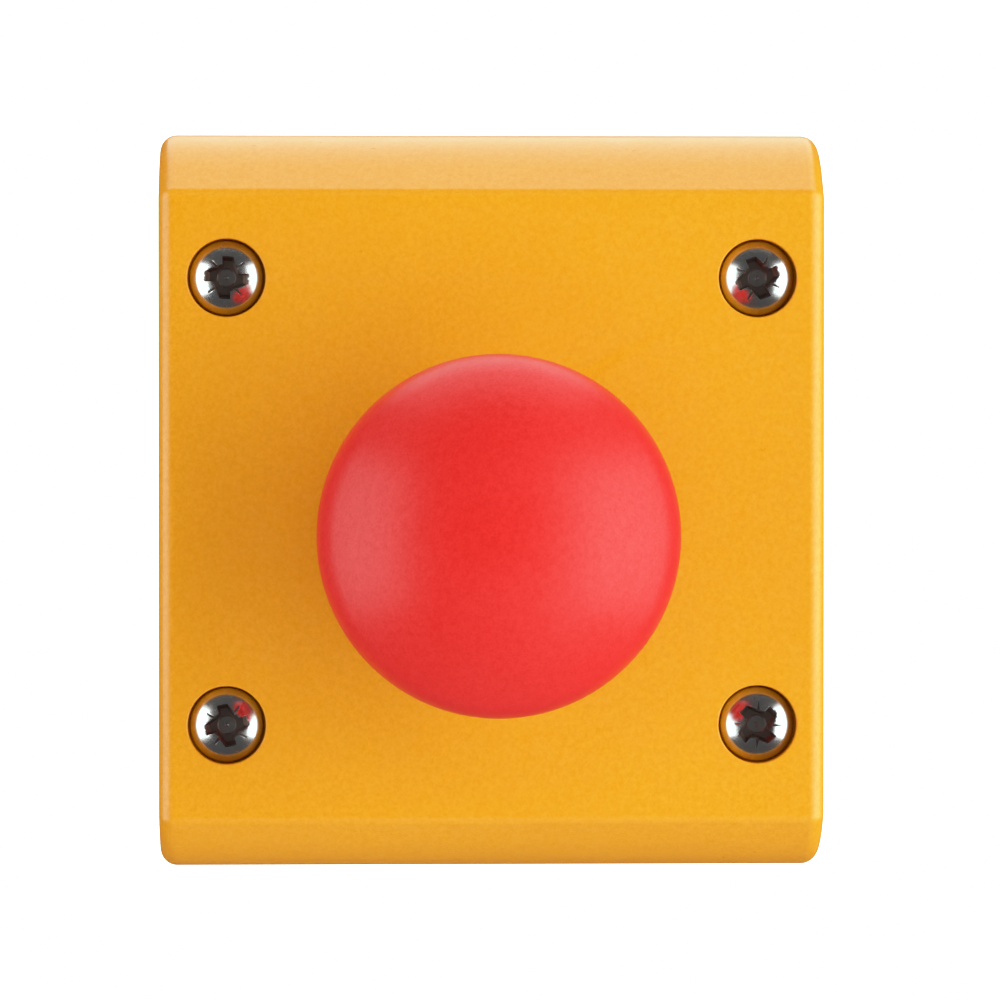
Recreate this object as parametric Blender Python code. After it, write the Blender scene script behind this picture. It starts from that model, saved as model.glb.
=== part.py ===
"""Surface-mounting emergency stop station, built as its separate pieces.

The origin is the centre of the back face, which lies on the wall in the plane Y = 0.
The front points to -Y, up is +Z, and all sizes are in metres.
"""

import math

import bmesh
import bpy

# Enclosure
BOX_WIDTH = 0.072
BOX_HEIGHT = 0.080
BOX_DEPTH = 0.056
BASE_DEPTH = 0.028
WALL = 0.0028
FACE_WALL = 0.003
EDGE_RADIUS = 0.0018
CLEARANCE = 0.0003

# Sloping bands at the top and bottom of the cover
FACE_HEIGHT = 0.0683
BAND_ANGLE = math.radians(45.0)
BAND_RADIUS = 0.0133

# Cover screws and what holds them
SCREW_SPACING_X = 0.0573
SCREW_SPACING_Z = 0.0482
SCREW_RADIUS = 0.002
SCREW_LENGTH = 0.03535
SCREW_HEAD_RADIUS = 0.004
SCREW_HEAD_HEIGHT = 0.00265
SCREW_CROWN_RADIUS = 0.0052
SCREW_SHOULDER_RADIUS = 0.0009
SCREW_HEAD_DEPTH = 0.00165
WELL_RADIUS = 0.0042
COLUMN_RADIUS = 0.0062
PILLAR_RADIUS = 0.0056
INSERT_RADIUS = 0.0028
INSERT_LENGTH = 0.010
CROSS_SPAN = 0.0046
CROSS_WIDTH = 0.0011
CROSS_DEPTH = 0.0014

# Openings in the base
FIXING_SPACING_X = 0.040
FIXING_SPACING_Z = 0.060
FIXING_RADIUS = 0.0023
KNOCKOUT_RADIUS = 0.0104
KNOCKOUT_GROOVE = 0.0006
KNOCKOUT_DEPTH = 0.0016
SEAL_WIDTH = 0.001
SEAL_HEIGHT = 0.0011

# Operator: its axis runs along Y, a little below the middle of the cover
AXIS_Z = -0.0033
TRAVEL = 0.0055
BARREL_RADIUS = 0.011
BARREL_BORE = 0.0095
BARREL_LENGTH = 0.015
COLLAR_RADIUS = 0.0147
COLLAR_FRONT = 0.006
GASKET_THICKNESS = 0.0011
GUIDE_BORE = 0.0053
GUIDE_LENGTH = 0.007
NUT_RADIUS = 0.015
NUT_THICKNESS = 0.0048
NUT_NOTCHES = 6

# Mushroom head: a flat dome, a round shoulder and a rolled rim
HEAD_RADIUS = 0.019
HEAD_WIDEST = 0.0207
DOME_RADIUS = 0.0234
SHOULDER_RADIUS = 0.007
RIM_RADIUS = 0.0022
SKIRT_RADIUS = 0.0122
SKIRT_END = 0.0118
HUB_RADIUS = 0.0086
HUB_BORE = 0.0072
HUB_END = 0.003
HUB_ROOF = 0.020
SOCKET_RADIUS = 0.00295
SOCKET_ROOF = 0.0272

# Stem and latch
STEM_RADIUS = 0.005
PAWL_RATIO = 0.22
PAWL_WIDTH = 0.003
PAWL_HEIGHT = 0.004
PAWL_BACK = 0.0076
PUSHER_WIDTH = 0.0264
PUSHER_HEIGHT = 0.009
PUSHER_THICKNESS = 0.0022

# Contact adapter and contact blocks
ADAPTER_WIDTH = 0.034
ADAPTER_HEIGHT = 0.040
SLEEVE_RADIUS = 0.0136
BLOCK_PITCH = 0.0208
BLOCK_WIDTH = 0.010
BLOCK_HEIGHT = 0.037
BLOCK_DEPTH = 0.025
BLOCK_WALL = 0.001
PLUNGER_HALF = 0.0019
BRIDGE_HALF = 0.007
BRIDGE_THICKNESS = 0.0008
TERMINAL_Z = 0.0132
TERMINAL_SCREW_HEAD = 0.003

# Stations along the depth, worked out from the sizes above
FACE_Y = -BOX_DEPTH
COVER_INNER_Y = FACE_Y + FACE_WALL
COVER_REAR_Y = -BASE_DEPTH - CLEARANCE / 2
BASE_FRONT_Y = -BASE_DEPTH + CLEARANCE / 2
COLLAR_REAR_Y = FACE_Y - GASKET_THICKNESS - 0.0004
BARREL_REAR_Y = FACE_Y + BARREL_LENGTH
GUIDE_FRONT_Y = BARREL_REAR_Y - GUIDE_LENGTH
PUSHER_FRONT_Y = BARREL_REAR_Y + CLEARANCE
PUSHER_REAR_Y = PUSHER_FRONT_Y + PUSHER_THICKNESS
PAWL_REAR_Y = BARREL_REAR_Y - 0.002
PAWL_FRONT_Y = PAWL_REAR_Y - PAWL_WIDTH
PLUNGER_FRONT_Y = PUSHER_REAR_Y + 0.0001
BLOCK_FRONT_Y = PLUNGER_FRONT_Y + TRAVEL + CLEARANCE
BLOCK_REAR_Y = BLOCK_FRONT_Y + BLOCK_DEPTH
FIXED_CONTACT_Y = BLOCK_FRONT_Y + 0.0116
BRIDGE_Y = FIXED_CONTACT_Y + CLEARANCE

ROUND = 20
FINE_ROUND = 28
SMALL_ROUND = 12


def clear_scene():
    for obj in list(bpy.data.objects):
        bpy.data.objects.remove(obj, do_unlink=True)


def make_material(name, colour, roughness, metallic=0.0):
    """Principled material with one plain colour."""
    material = bpy.data.materials.new(name)
    material.use_nodes = True
    shader = material.node_tree.nodes["Principled BSDF"]
    shader.inputs["Base Color"].default_value = (*colour, 1.0)
    shader.inputs["Roughness"].default_value = roughness
    shader.inputs["Metallic"].default_value = metallic
    return material


def make_materials():
    return {
        "yellow": make_material("yellow_cover", (0.86, 0.40, 0.005), 0.45),
        "red": make_material("red_plastic", (0.80, 0.025, 0.02), 0.38),
        "grey": make_material("dark_base", (0.035, 0.036, 0.038), 0.55),
        "black": make_material("black_plastic", (0.015, 0.015, 0.016), 0.5),
        "housing": make_material("contact_plastic", (0.05, 0.05, 0.052), 0.5),
        "rubber": make_material("black_rubber", (0.01, 0.01, 0.01), 0.8),
        "zinc": make_material("zinc_steel", (0.66, 0.66, 0.64), 0.25, 1.0),
        "spring": make_material("spring_steel", (0.55, 0.55, 0.56), 0.3, 1.0),
        "brass": make_material("brass", (0.78, 0.58, 0.25), 0.3, 1.0),
        "white": make_material("white_plastic", (0.75, 0.75, 0.72), 0.4),
    }


def make_object(name, bm, material=None, location=(0.0, 0.0, 0.0), parent=None):
    """Turn the bmesh into a named object with outward faces and smooth round sides."""
    bmesh.ops.recalc_face_normals(bm, faces=bm.faces)
    mesh = bpy.data.meshes.new(name)
    bm.to_mesh(mesh)
    bm.free()
    mesh.shade_smooth()
    mesh.set_sharp_from_angle(angle=math.radians(35.0))
    if material:
        mesh.materials.append(material)
    obj = bpy.data.objects.new(name, mesh)
    bpy.context.scene.collection.objects.link(obj)
    obj.parent = parent
    obj.location = location
    return obj


def make_anchor(name, location):
    """Empty on the axis of a moving group."""
    anchor = bpy.data.objects.new(name, None)
    bpy.context.scene.collection.objects.link(anchor)
    anchor.location = location
    return anchor


def combine(target, tool, operation):
    """Boolean with a hidden wire tool, which stays in the scene as a guide."""
    tool.hide_render = True
    tool.display_type = "WIRE"
    modifier = target.modifiers.new(tool.name, "BOOLEAN")
    modifier.operation = operation
    modifier.solver = "EXACT"
    modifier.object = tool


def cut(target, tool):
    combine(target, tool, "DIFFERENCE")


def join(target, tool):
    combine(target, tool, "UNION")


def skin(bm, first, second):
    """Faces between two closed loops, either of which may be a single pole."""
    count = max(len(first), len(second))
    for i in range(count):
        j = (i + 1) % count
        corners = []
        for loop, order in ((first, (i, j)), (second, (j, i))):
            if len(loop) == 1:
                corners.append(loop[0])
            else:
                corners.extend(loop[k] for k in order)
        bm.faces.new(corners)


def turned(profile, segments=ROUND):
    """Body turned about the local Y axis from (radius, y) points.

    A profile that starts and ends on the axis is solid; any other is a closed ring.
    """
    bm = bmesh.new()
    rings = []
    for radius, y in profile:
        if radius == 0.0:
            rings.append([bm.verts.new((0.0, y, 0.0))])
            continue
        ring = []
        for step in range(segments):
            angle = 2.0 * math.pi * step / segments
            ring.append(bm.verts.new((radius * math.cos(angle), y, radius * math.sin(angle))))
        rings.append(ring)
    for first, second in zip(rings, rings[1:]):
        skin(bm, first, second)
    if len(rings[0]) > 1:
        skin(bm, rings[-1], rings[0])
    return bm


def cylinder(radius, y_from, y_to, segments=ROUND):
    return turned([(0.0, y_from), (radius, y_from), (radius, y_to), (0.0, y_to)], segments)


def tube(inner, outer, y_from, y_to, segments=ROUND):
    return turned([(inner, y_from), (outer, y_from), (outer, y_to), (inner, y_to)], segments)


def stacked(loops):
    """Closed body skinned over equal loops of points, with flat ends."""
    bm = bmesh.new()
    rows = []
    for loop in loops:
        rows.append([bm.verts.new(point) for point in loop])
    for first, second in zip(rows, rows[1:]):
        skin(bm, first, second)
    bm.faces.new(rows[0])
    bm.faces.new(rows[-1])
    return bm


def prism(outline, y_from, y_to):
    """Straight body along Y from an outline of (x, z) points."""
    return stacked([[(x, y, z) for x, z in outline] for y in (y_from, y_to)])


def block(x_range, y_range, z_range):
    outline = [
        (x_range[0], z_range[0]),
        (x_range[1], z_range[0]),
        (x_range[1], z_range[1]),
        (x_range[0], z_range[1]),
    ]
    return prism(outline, *y_range)


def centred_block(half_x, y_range, half_z):
    return block((-half_x, half_x), y_range, (-half_z, half_z))


def rounded_rectangle(half_x, half_z, radius, steps=3):
    points = []
    corners = ((1, 1, 0.0), (-1, 1, 0.5), (-1, -1, 1.0), (1, -1, 1.5))
    for sign_x, sign_z, start in corners:
        for step in range(steps + 1):
            angle = math.pi * (start + 0.5 * step / steps)
            x = sign_x * (half_x - radius) + radius * math.cos(angle)
            z = sign_z * (half_z - radius) + radius * math.sin(angle)
            points.append((x, z))
    return points


def coil(mean_radius, wire_radius, turns, length, sides=4, steps_per_turn=9):
    """Round wire wound about the local Y axis, from y = 0 to y = length."""
    bm = bmesh.new()
    pitch = (length - 2.0 * wire_radius) / turns
    loops = []
    for step in range(int(turns * steps_per_turn) + 1):
        angle = 2.0 * math.pi * step / steps_per_turn
        y = wire_radius + pitch * step / steps_per_turn
        loop = []
        for side in range(sides):
            around = 2.0 * math.pi * side / sides
            radius = mean_radius + wire_radius * math.cos(around)
            height = y + wire_radius * math.sin(around)
            loop.append(bm.verts.new((radius * math.cos(angle), height, radius * math.sin(angle))))
        loops.append(loop)
    for first, second in zip(loops, loops[1:]):
        skin(bm, first, second)
    bm.faces.new(loops[0])
    bm.faces.new(loops[-1])
    return bm


def corner_places():
    """Name, x and z of the four cover screws, as seen from the front."""
    for row, sign_z in (("top", 1), ("bottom", -1)):
        for column, sign_x in (("left", -1), ("right", 1)):
            yield f"{row}_{column}", sign_x * SCREW_SPACING_X / 2, sign_z * SCREW_SPACING_Z / 2


def cover_section(offset, rear_y, arc_steps=6):
    """Side outline of the cover as (y, z) points, moved inwards by the offset.

    From the rear edge the wall runs straight, rolls round on the band's arc and slopes to the face.
    """
    half = BOX_HEIGHT / 2
    centre_z = half - BAND_RADIUS
    crease_rise = (FACE_HEIGHT / 2 - centre_z) * math.sin(BAND_ANGLE)
    centre_depth = (BAND_RADIUS - crease_rise) / math.cos(BAND_ANGLE)
    centre_y = FACE_Y + centre_depth
    radius = BAND_RADIUS - offset
    upper = [(rear_y, half - offset)]
    for step in range(arc_steps + 1):
        angle = (math.pi / 2 - BAND_ANGLE) * step / arc_steps
        upper.append((centre_y - radius * math.sin(angle), centre_z + radius * math.cos(angle)))
    crease = (radius - (centre_depth - offset) * math.cos(BAND_ANGLE)) / math.sin(BAND_ANGLE)
    upper.append((FACE_Y + offset, centre_z + crease))
    return upper + [(y, -z) for y, z in reversed(upper)]


def cover_shape(offset, rear_y, edge_radius, edge_steps=3):
    """The cover's whole outside, or its hollow, with its side edges rounded."""
    half = BOX_WIDTH / 2 - offset
    stations = []
    for step in range(edge_steps + 1):
        angle = 0.5 * math.pi * step / edge_steps
        inset = edge_radius * (1.0 - math.cos(angle))
        stations.append((half - edge_radius * (1.0 - math.sin(angle)), offset + inset))
    loops = [[(-x, y, z) for y, z in cover_section(inward, rear_y)] for x, inward in reversed(stations)]
    loops += [[(x, y, z) for y, z in cover_section(inward, rear_y)] for x, inward in stations]
    return stacked(loops)


def build_base(materials):
    half_x = BOX_WIDTH / 2
    half_z = BOX_HEIGHT / 2
    outline = rounded_rectangle(half_x, half_z, EDGE_RADIUS)
    base = make_object("base_box", prism(outline, BASE_FRONT_Y, 0.0), materials["grey"])
    hollow = rounded_rectangle(half_x - WALL, half_z - WALL, EDGE_RADIUS / 2, 2)
    cut(base, make_object("base_hollow_tool", prism(hollow, BASE_FRONT_Y - WALL, -FACE_WALL)))
    pillar_front_y = BASE_FRONT_Y + CLEARANCE
    for place, x, z in corner_places():
        pillar = cylinder(PILLAR_RADIUS, pillar_front_y, -WALL / 2)
        join(base, make_object(f"pillar_{place}_tool", pillar, location=(x, 0.0, z)))
    for place, x, z in corner_places():
        hole_y = (-BASE_DEPTH - WALL, pillar_front_y + INSERT_LENGTH + 0.001)
        hole = cylinder(INSERT_RADIUS + CLEARANCE / 2, *hole_y)
        cut(base, make_object(f"insert_hole_{place}_tool", hole, location=(x, 0.0, z)))
        insert_y = (pillar_front_y + 0.0002, pillar_front_y + INSERT_LENGTH)
        insert = tube(SCREW_RADIUS + 0.0002, INSERT_RADIUS, *insert_y)
        make_object(f"insert_{place}", insert, materials["brass"], (x, 0.0, z))
    for sign_x in (-1, 1):
        for sign_z in (-1, 1):
            place = (sign_x * FIXING_SPACING_X / 2, 0.0, sign_z * FIXING_SPACING_Z / 2)
            hole = cylinder(FIXING_RADIUS, -2 * FACE_WALL, FACE_WALL, SMALL_ROUND)
            cut(base, make_object(f"fixing_hole_{sign_x}_{sign_z}_tool", hole, location=place))
    for name, sign_z in (("top", 1), ("bottom", -1)):
        groove = tube(KNOCKOUT_RADIUS - KNOCKOUT_GROOVE, KNOCKOUT_RADIUS, -KNOCKOUT_DEPTH, KNOCKOUT_DEPTH)
        tool = make_object(f"knockout_{name}_tool", groove, location=(0.0, -BASE_DEPTH / 2, sign_z * half_z))
        tool.rotation_euler = (math.pi / 2, 0.0, 0.0)
        cut(base, tool)
    build_seal(base, materials)


def build_seal(base, materials):
    """Square ring in a groove of the base's rim."""
    middle = WALL / 2
    seal_rear_y = BASE_FRONT_Y + 0.0009
    for name, spare, y_front, y_rear in (
        ("seal_groove_tool", CLEARANCE / 2, BASE_FRONT_Y - WALL, seal_rear_y + CLEARANCE / 2),
        ("cover_seal", 0.0, seal_rear_y - SEAL_HEIGHT + CLEARANCE / 2, seal_rear_y),
    ):
        outer_shift = middle - SEAL_WIDTH / 2 - spare
        inner_shift = middle + SEAL_WIDTH / 2 + spare
        half_x = BOX_WIDTH / 2
        half_z = BOX_HEIGHT / 2
        outer = rounded_rectangle(half_x - outer_shift, half_z - outer_shift, EDGE_RADIUS)
        inner = rounded_rectangle(half_x - inner_shift, half_z - inner_shift, EDGE_RADIUS / 2)
        bm = bmesh.new()
        loops = []
        for loop, y in ((outer, y_front), (outer, y_rear), (inner, y_rear), (inner, y_front)):
            loops.append([bm.verts.new((x, y, z)) for x, z in loop])
        for first, second in zip(loops, loops[1:] + loops[:1]):
            skin(bm, first, second)
        is_tool = name.endswith("_tool")
        ring = make_object(name, bm, None if is_tool else materials["rubber"])
        if is_tool:
            cut(base, ring)


def build_cover(materials):
    cover = make_object("front_cover", cover_shape(0.0, COVER_REAR_Y, EDGE_RADIUS), materials["yellow"])
    hollow = cover_shape(WALL, COVER_REAR_Y + WALL, EDGE_RADIUS / 2, 2)
    cut(cover, make_object("cover_hollow_tool", hollow))
    for place, x, z in corner_places():
        column = cylinder(COLUMN_RADIUS, COVER_INNER_Y - WALL / 2, COVER_REAR_Y - 0.0001)
        join(cover, make_object(f"column_{place}_tool", column, location=(x, 0.0, z)))
    seat_y = FACE_Y + SCREW_HEAD_DEPTH + CLEARANCE
    recess_y = COVER_REAR_Y - 0.0018
    for place, x, z in corner_places():
        well = [
            (0.0, FACE_Y - WALL),
            (WELL_RADIUS, FACE_Y - WALL),
            (WELL_RADIUS, seat_y),
            (SCREW_RADIUS + 0.0004, seat_y),
            (SCREW_RADIUS + 0.0004, recess_y),
            (SCREW_HEAD_RADIUS + 0.0004, recess_y),
            (SCREW_HEAD_RADIUS + 0.0004, COVER_REAR_Y + WALL),
            (0.0, COVER_REAR_Y + WALL),
        ]
        cut(cover, make_object(f"well_{place}_tool", turned(well), location=(x, 0.0, z)))
        build_cover_screw(place, x, z, recess_y, materials)
    hole = cylinder(BARREL_RADIUS + 0.00025, FACE_Y - WALL, COVER_INNER_Y + WALL, FINE_ROUND)
    cut(cover, make_object("operator_hole_tool", hole, location=(0.0, 0.0, AXIS_Z)))


def build_cover_screw(place, x, z, recess_y, materials):
    """Pan-head screw with a cross recess, and the washer that keeps it in the cover."""
    seat_y = FACE_Y + SCREW_HEAD_DEPTH
    top_y = seat_y - SCREW_HEAD_HEIGHT
    tip_y = seat_y + SCREW_LENGTH
    shoulder_x = SCREW_HEAD_RADIUS - SCREW_SHOULDER_RADIUS
    inner = SCREW_CROWN_RADIUS - SCREW_SHOULDER_RADIUS
    meet = math.asin(shoulder_x / inner)
    crown_y = top_y + SCREW_CROWN_RADIUS
    crown = arc_points((0.0, -crown_y), SCREW_CROWN_RADIUS, 0.0, meet, 4)
    shoulder_centre = (shoulder_x, -crown_y + inner * math.cos(meet))
    shoulder = arc_points(shoulder_centre, SCREW_SHOULDER_RADIUS, meet, 0.5 * math.pi, 3)
    profile = [(0.0, top_y)]
    profile += [(radius, -height) for radius, height in crown[1:] + shoulder[1:]]
    profile += [
        (SCREW_HEAD_RADIUS, seat_y),
        (SCREW_RADIUS, seat_y),
        (SCREW_RADIUS, tip_y - 0.0006),
        (0.7 * SCREW_RADIUS, tip_y),
        (0.0, tip_y),
    ]
    screw = make_object(f"cover_screw_{place}", turned(profile, SMALL_ROUND), materials["zinc"], (x, 0.0, z))
    span = CROSS_SPAN / 2
    width = CROSS_WIDTH / 2
    cross = []
    for turn in range(4):
        cos_turn = round(math.cos(turn * math.pi / 2))
        sin_turn = round(math.sin(turn * math.pi / 2))
        for across, along in ((width, -width), (span, -width), (span, width)):
            cross.append((across * cos_turn - along * sin_turn, across * sin_turn + along * cos_turn))
    recess = prism(cross, top_y - CROSS_DEPTH, top_y + CROSS_DEPTH)
    cut(screw, make_object(f"cross_{place}_tool", recess, location=(x, 0.0, z)))
    washer_y = (recess_y + CLEARANCE, recess_y + 0.0012)
    washer = tube(SCREW_RADIUS + 0.0002, SCREW_HEAD_RADIUS, *washer_y, SMALL_ROUND)
    make_object(f"screw_washer_{place}", washer, materials["black"], (x, 0.0, z))


def build_operator(materials, anchor):
    """Fixed half of the push-button: collar, barrel, gasket, nut, seal and latch band."""
    collar_front_y = FACE_Y - COLLAR_FRONT
    band_radius = BARREL_RADIUS - 0.0008
    band_front_y = PAWL_FRONT_Y - 0.001
    band_rear_y = PAWL_REAR_Y + 0.001
    profile = [
        (BARREL_BORE, collar_front_y),
        (COLLAR_RADIUS - 0.0014, collar_front_y),
        (COLLAR_RADIUS - 0.0004, collar_front_y + 0.0006),
        (COLLAR_RADIUS, collar_front_y + 0.0016),
        (COLLAR_RADIUS, COLLAR_REAR_Y),
        (BARREL_RADIUS, COLLAR_REAR_Y),
        (BARREL_RADIUS, band_front_y),
        (band_radius, band_front_y),
        (band_radius, band_rear_y),
        (BARREL_RADIUS, band_rear_y),
        (BARREL_RADIUS, BARREL_REAR_Y),
        (GUIDE_BORE, BARREL_REAR_Y),
        (GUIDE_BORE, GUIDE_FRONT_Y),
        (BARREL_BORE, GUIDE_FRONT_Y),
    ]
    body = make_object("operator_body", turned(profile, FINE_ROUND), materials["black"], parent=anchor)
    channel_y = (PAWL_FRONT_Y - 0.0001, PAWL_REAR_Y + 0.0001)
    channel = centred_block(BARREL_RADIUS + 0.001, channel_y, PAWL_HEIGHT / 2 + 0.0001)
    cut(body, make_object("pawl_channel_tool", channel, parent=anchor))
    gasket_y = (COLLAR_REAR_Y + 0.0002, FACE_Y - 0.0002)
    gasket = tube(BARREL_RADIUS + 0.0003, COLLAR_RADIUS - 0.0003, *gasket_y, FINE_ROUND)
    make_object("collar_gasket", gasket, materials["rubber"], parent=anchor)
    band_y = (band_front_y + 0.0002, band_rear_y - 0.0002)
    band = tube(band_radius + 0.0001, BARREL_RADIUS - 0.0001, *band_y, FINE_ROUND)
    make_object("latch_band", band, materials["spring"], parent=anchor)
    seal_y = (collar_front_y + 0.0004, collar_front_y + 0.0024)
    seal = tube(HUB_RADIUS + 0.0002, BARREL_BORE - 0.0002, *seal_y, FINE_ROUND)
    make_object("stem_seal", seal, materials["rubber"], parent=anchor)
    build_lock_nut(materials, anchor)


def build_lock_nut(materials, anchor):
    """Round nut with square notches for a hook spanner."""
    outline = []
    depth = 0.0014
    for notch in range(NUT_NOTCHES):
        start = 2.0 * math.pi * notch / NUT_NOTCHES
        for share, radius in ((0.0, NUT_RADIUS), (0.25, NUT_RADIUS), (0.5, NUT_RADIUS), (0.75, NUT_RADIUS),
                              (0.77, NUT_RADIUS - depth), (0.98, NUT_RADIUS - depth)):
            angle = start + 2.0 * math.pi * share / NUT_NOTCHES
            outline.append((radius * math.cos(angle), radius * math.sin(angle)))
    front_y = COVER_INNER_Y + CLEARANCE
    nut = prism(outline, front_y, front_y + NUT_THICKNESS)
    nut = make_object("lock_nut", nut, materials["black"], parent=anchor)
    hole = cylinder(BARREL_RADIUS + 0.0002, front_y - 0.001, front_y + NUT_THICKNESS + 0.001, FINE_ROUND)
    cut(nut, make_object("lock_nut_hole_tool", hole, parent=anchor))


def arc_points(centre, radius, start, end, steps):
    """(radius, distance) points of an arc; angles are measured from the front-pointing axis."""
    points = []
    for step in range(steps + 1):
        angle = start + (end - start) * step / steps
        points.append((centre[0] + radius * math.sin(angle), centre[1] + radius * math.cos(angle)))
    return points


def head_profile():
    """Mushroom section as (radius, distance in front of the cover's face)."""
    reach = HEAD_RADIUS - SHOULDER_RADIUS
    meet = math.asin(reach / (DOME_RADIUS - SHOULDER_RADIUS))
    dome_centre = (0.0, HEAD_WIDEST - (DOME_RADIUS - SHOULDER_RADIUS) * math.cos(meet))
    shoulder_centre = (reach, HEAD_WIDEST)
    rim_centre = (HEAD_RADIUS - RIM_RADIUS, HEAD_WIDEST)
    underside = HEAD_WIDEST - RIM_RADIUS
    profile = arc_points(dome_centre, DOME_RADIUS, 0.0, meet, 4)
    profile[0] = (0.0, profile[0][1])
    profile += arc_points(shoulder_centre, SHOULDER_RADIUS, meet, math.pi / 2, 3)[1:]
    profile += arc_points(rim_centre, RIM_RADIUS, math.pi / 2, math.pi, 3)[1:]
    profile += [
        (SKIRT_RADIUS + 0.0008, underside - 0.0009),
        (SKIRT_RADIUS, underside - 0.0022),
        (SKIRT_RADIUS, SKIRT_END),
        (HUB_RADIUS, SKIRT_END),
        (HUB_RADIUS, HUB_END),
        (HUB_BORE, HUB_END),
        (HUB_BORE, HUB_ROOF),
        (SOCKET_RADIUS, HUB_ROOF),
        (SOCKET_RADIUS, SOCKET_ROOF),
        (0.0, SOCKET_ROOF),
    ]
    return profile


def build_button(materials, anchor):
    """Moving half of the push-button, with its anchor on the axis of travel."""
    profile = [(radius, FACE_Y - distance) for radius, distance in head_profile()]
    make_object("mushroom_head", turned(profile, FINE_ROUND), materials["red"], parent=anchor)
    neck = STEM_RADIUS - PAWL_RATIO * (PAWL_WIDTH + TRAVEL)
    tip_y = FACE_Y - SOCKET_ROOF + 0.0006
    shoulder_y = FACE_Y - HUB_ROOF + CLEARANCE
    profile = [
        (0.0, tip_y),
        (SOCKET_RADIUS - 0.00025, tip_y),
        (SOCKET_RADIUS - 0.00025, shoulder_y),
        (neck, shoulder_y),
        (neck, PAWL_FRONT_Y - TRAVEL),
        (STEM_RADIUS, PAWL_REAR_Y),
        (STEM_RADIUS, PUSHER_REAR_Y - 0.001),
        (0.0, PUSHER_REAR_Y - 0.001),
    ]
    stem = make_object("button_stem", turned(profile), materials["white"], parent=anchor)
    pusher = centred_block(PUSHER_WIDTH / 2, (PUSHER_FRONT_Y, PUSHER_REAR_Y), PUSHER_HEIGHT / 2)
    join(stem, make_object("pusher_tool", pusher, parent=anchor))
    spring_rear_y = GUIDE_FRONT_Y - 0.0001
    length = spring_rear_y - (shoulder_y - 0.0001)
    wire = 0.00055
    spring = coil(HUB_BORE - wire - 0.0006, wire, 8, length)
    place = (0.0, shoulder_y - 0.0001, 0.0)
    make_object("return_spring", spring, materials["spring"], place, anchor)


def build_latch(materials):
    """Two sprung pawls that ride on the stem's cone from either side."""
    tip_rear = STEM_RADIUS + 0.0002
    tip_front = tip_rear - PAWL_RATIO * PAWL_WIDTH
    half = PAWL_HEIGHT / 2
    wire = 0.00022
    for side, sign in (("left", -1), ("right", 1)):
        anchor = make_anchor(f"pawl_{side}_axis", (0.0, 0.0, AXIS_Z))
        loops = []
        for z in (-half, half):
            loops.append([
                (sign * tip_front, PAWL_FRONT_Y, z),
                (sign * tip_rear, PAWL_REAR_Y, z),
                (sign * PAWL_BACK, PAWL_REAR_Y, z),
                (sign * PAWL_BACK, PAWL_FRONT_Y, z),
            ])
        make_object(f"latch_pawl_{side}", stacked(loops), materials["brass"], parent=anchor)
        start = PAWL_BACK + 0.0001
        length = BARREL_RADIUS - 0.0008 - start
        spring = coil(0.0009, wire, 3, length)
        middle_y = (PAWL_FRONT_Y + PAWL_REAR_Y) / 2
        spring_object = make_object(f"latch_spring_{side}", spring, materials["spring"])
        spring_object.location = (sign * start, middle_y, AXIS_Z)
        spring_object.rotation_euler = (0.0, 0.0, -sign * math.pi / 2)


def build_adapter(materials, anchor):
    """Carrier that grips the barrel and holds the contact blocks."""
    front_y = BARREL_REAR_Y - 0.002
    rear_y = BLOCK_FRONT_Y - CLEARANCE
    body = centred_block(ADAPTER_WIDTH / 2, (front_y, rear_y), ADAPTER_HEIGHT / 2)
    adapter = make_object("contact_adapter", body, materials["housing"], parent=anchor)
    sleeve = cylinder(SLEEVE_RADIUS, front_y - 0.0044, front_y + 0.001)
    join(adapter, make_object("adapter_sleeve_tool", sleeve, parent=anchor))
    bore = cylinder(BARREL_RADIUS + CLEARANCE, front_y - 0.006, BARREL_REAR_Y + 0.0005, FINE_ROUND)
    cut(adapter, make_object("adapter_bore_tool", bore, parent=anchor))
    window_y = (BARREL_REAR_Y, rear_y + 0.001)
    window = centred_block(PUSHER_WIDTH / 2 + 0.0011, window_y, PUSHER_HEIGHT / 2 + 0.0018)
    cut(adapter, make_object("adapter_window_tool", window, parent=anchor))


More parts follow.
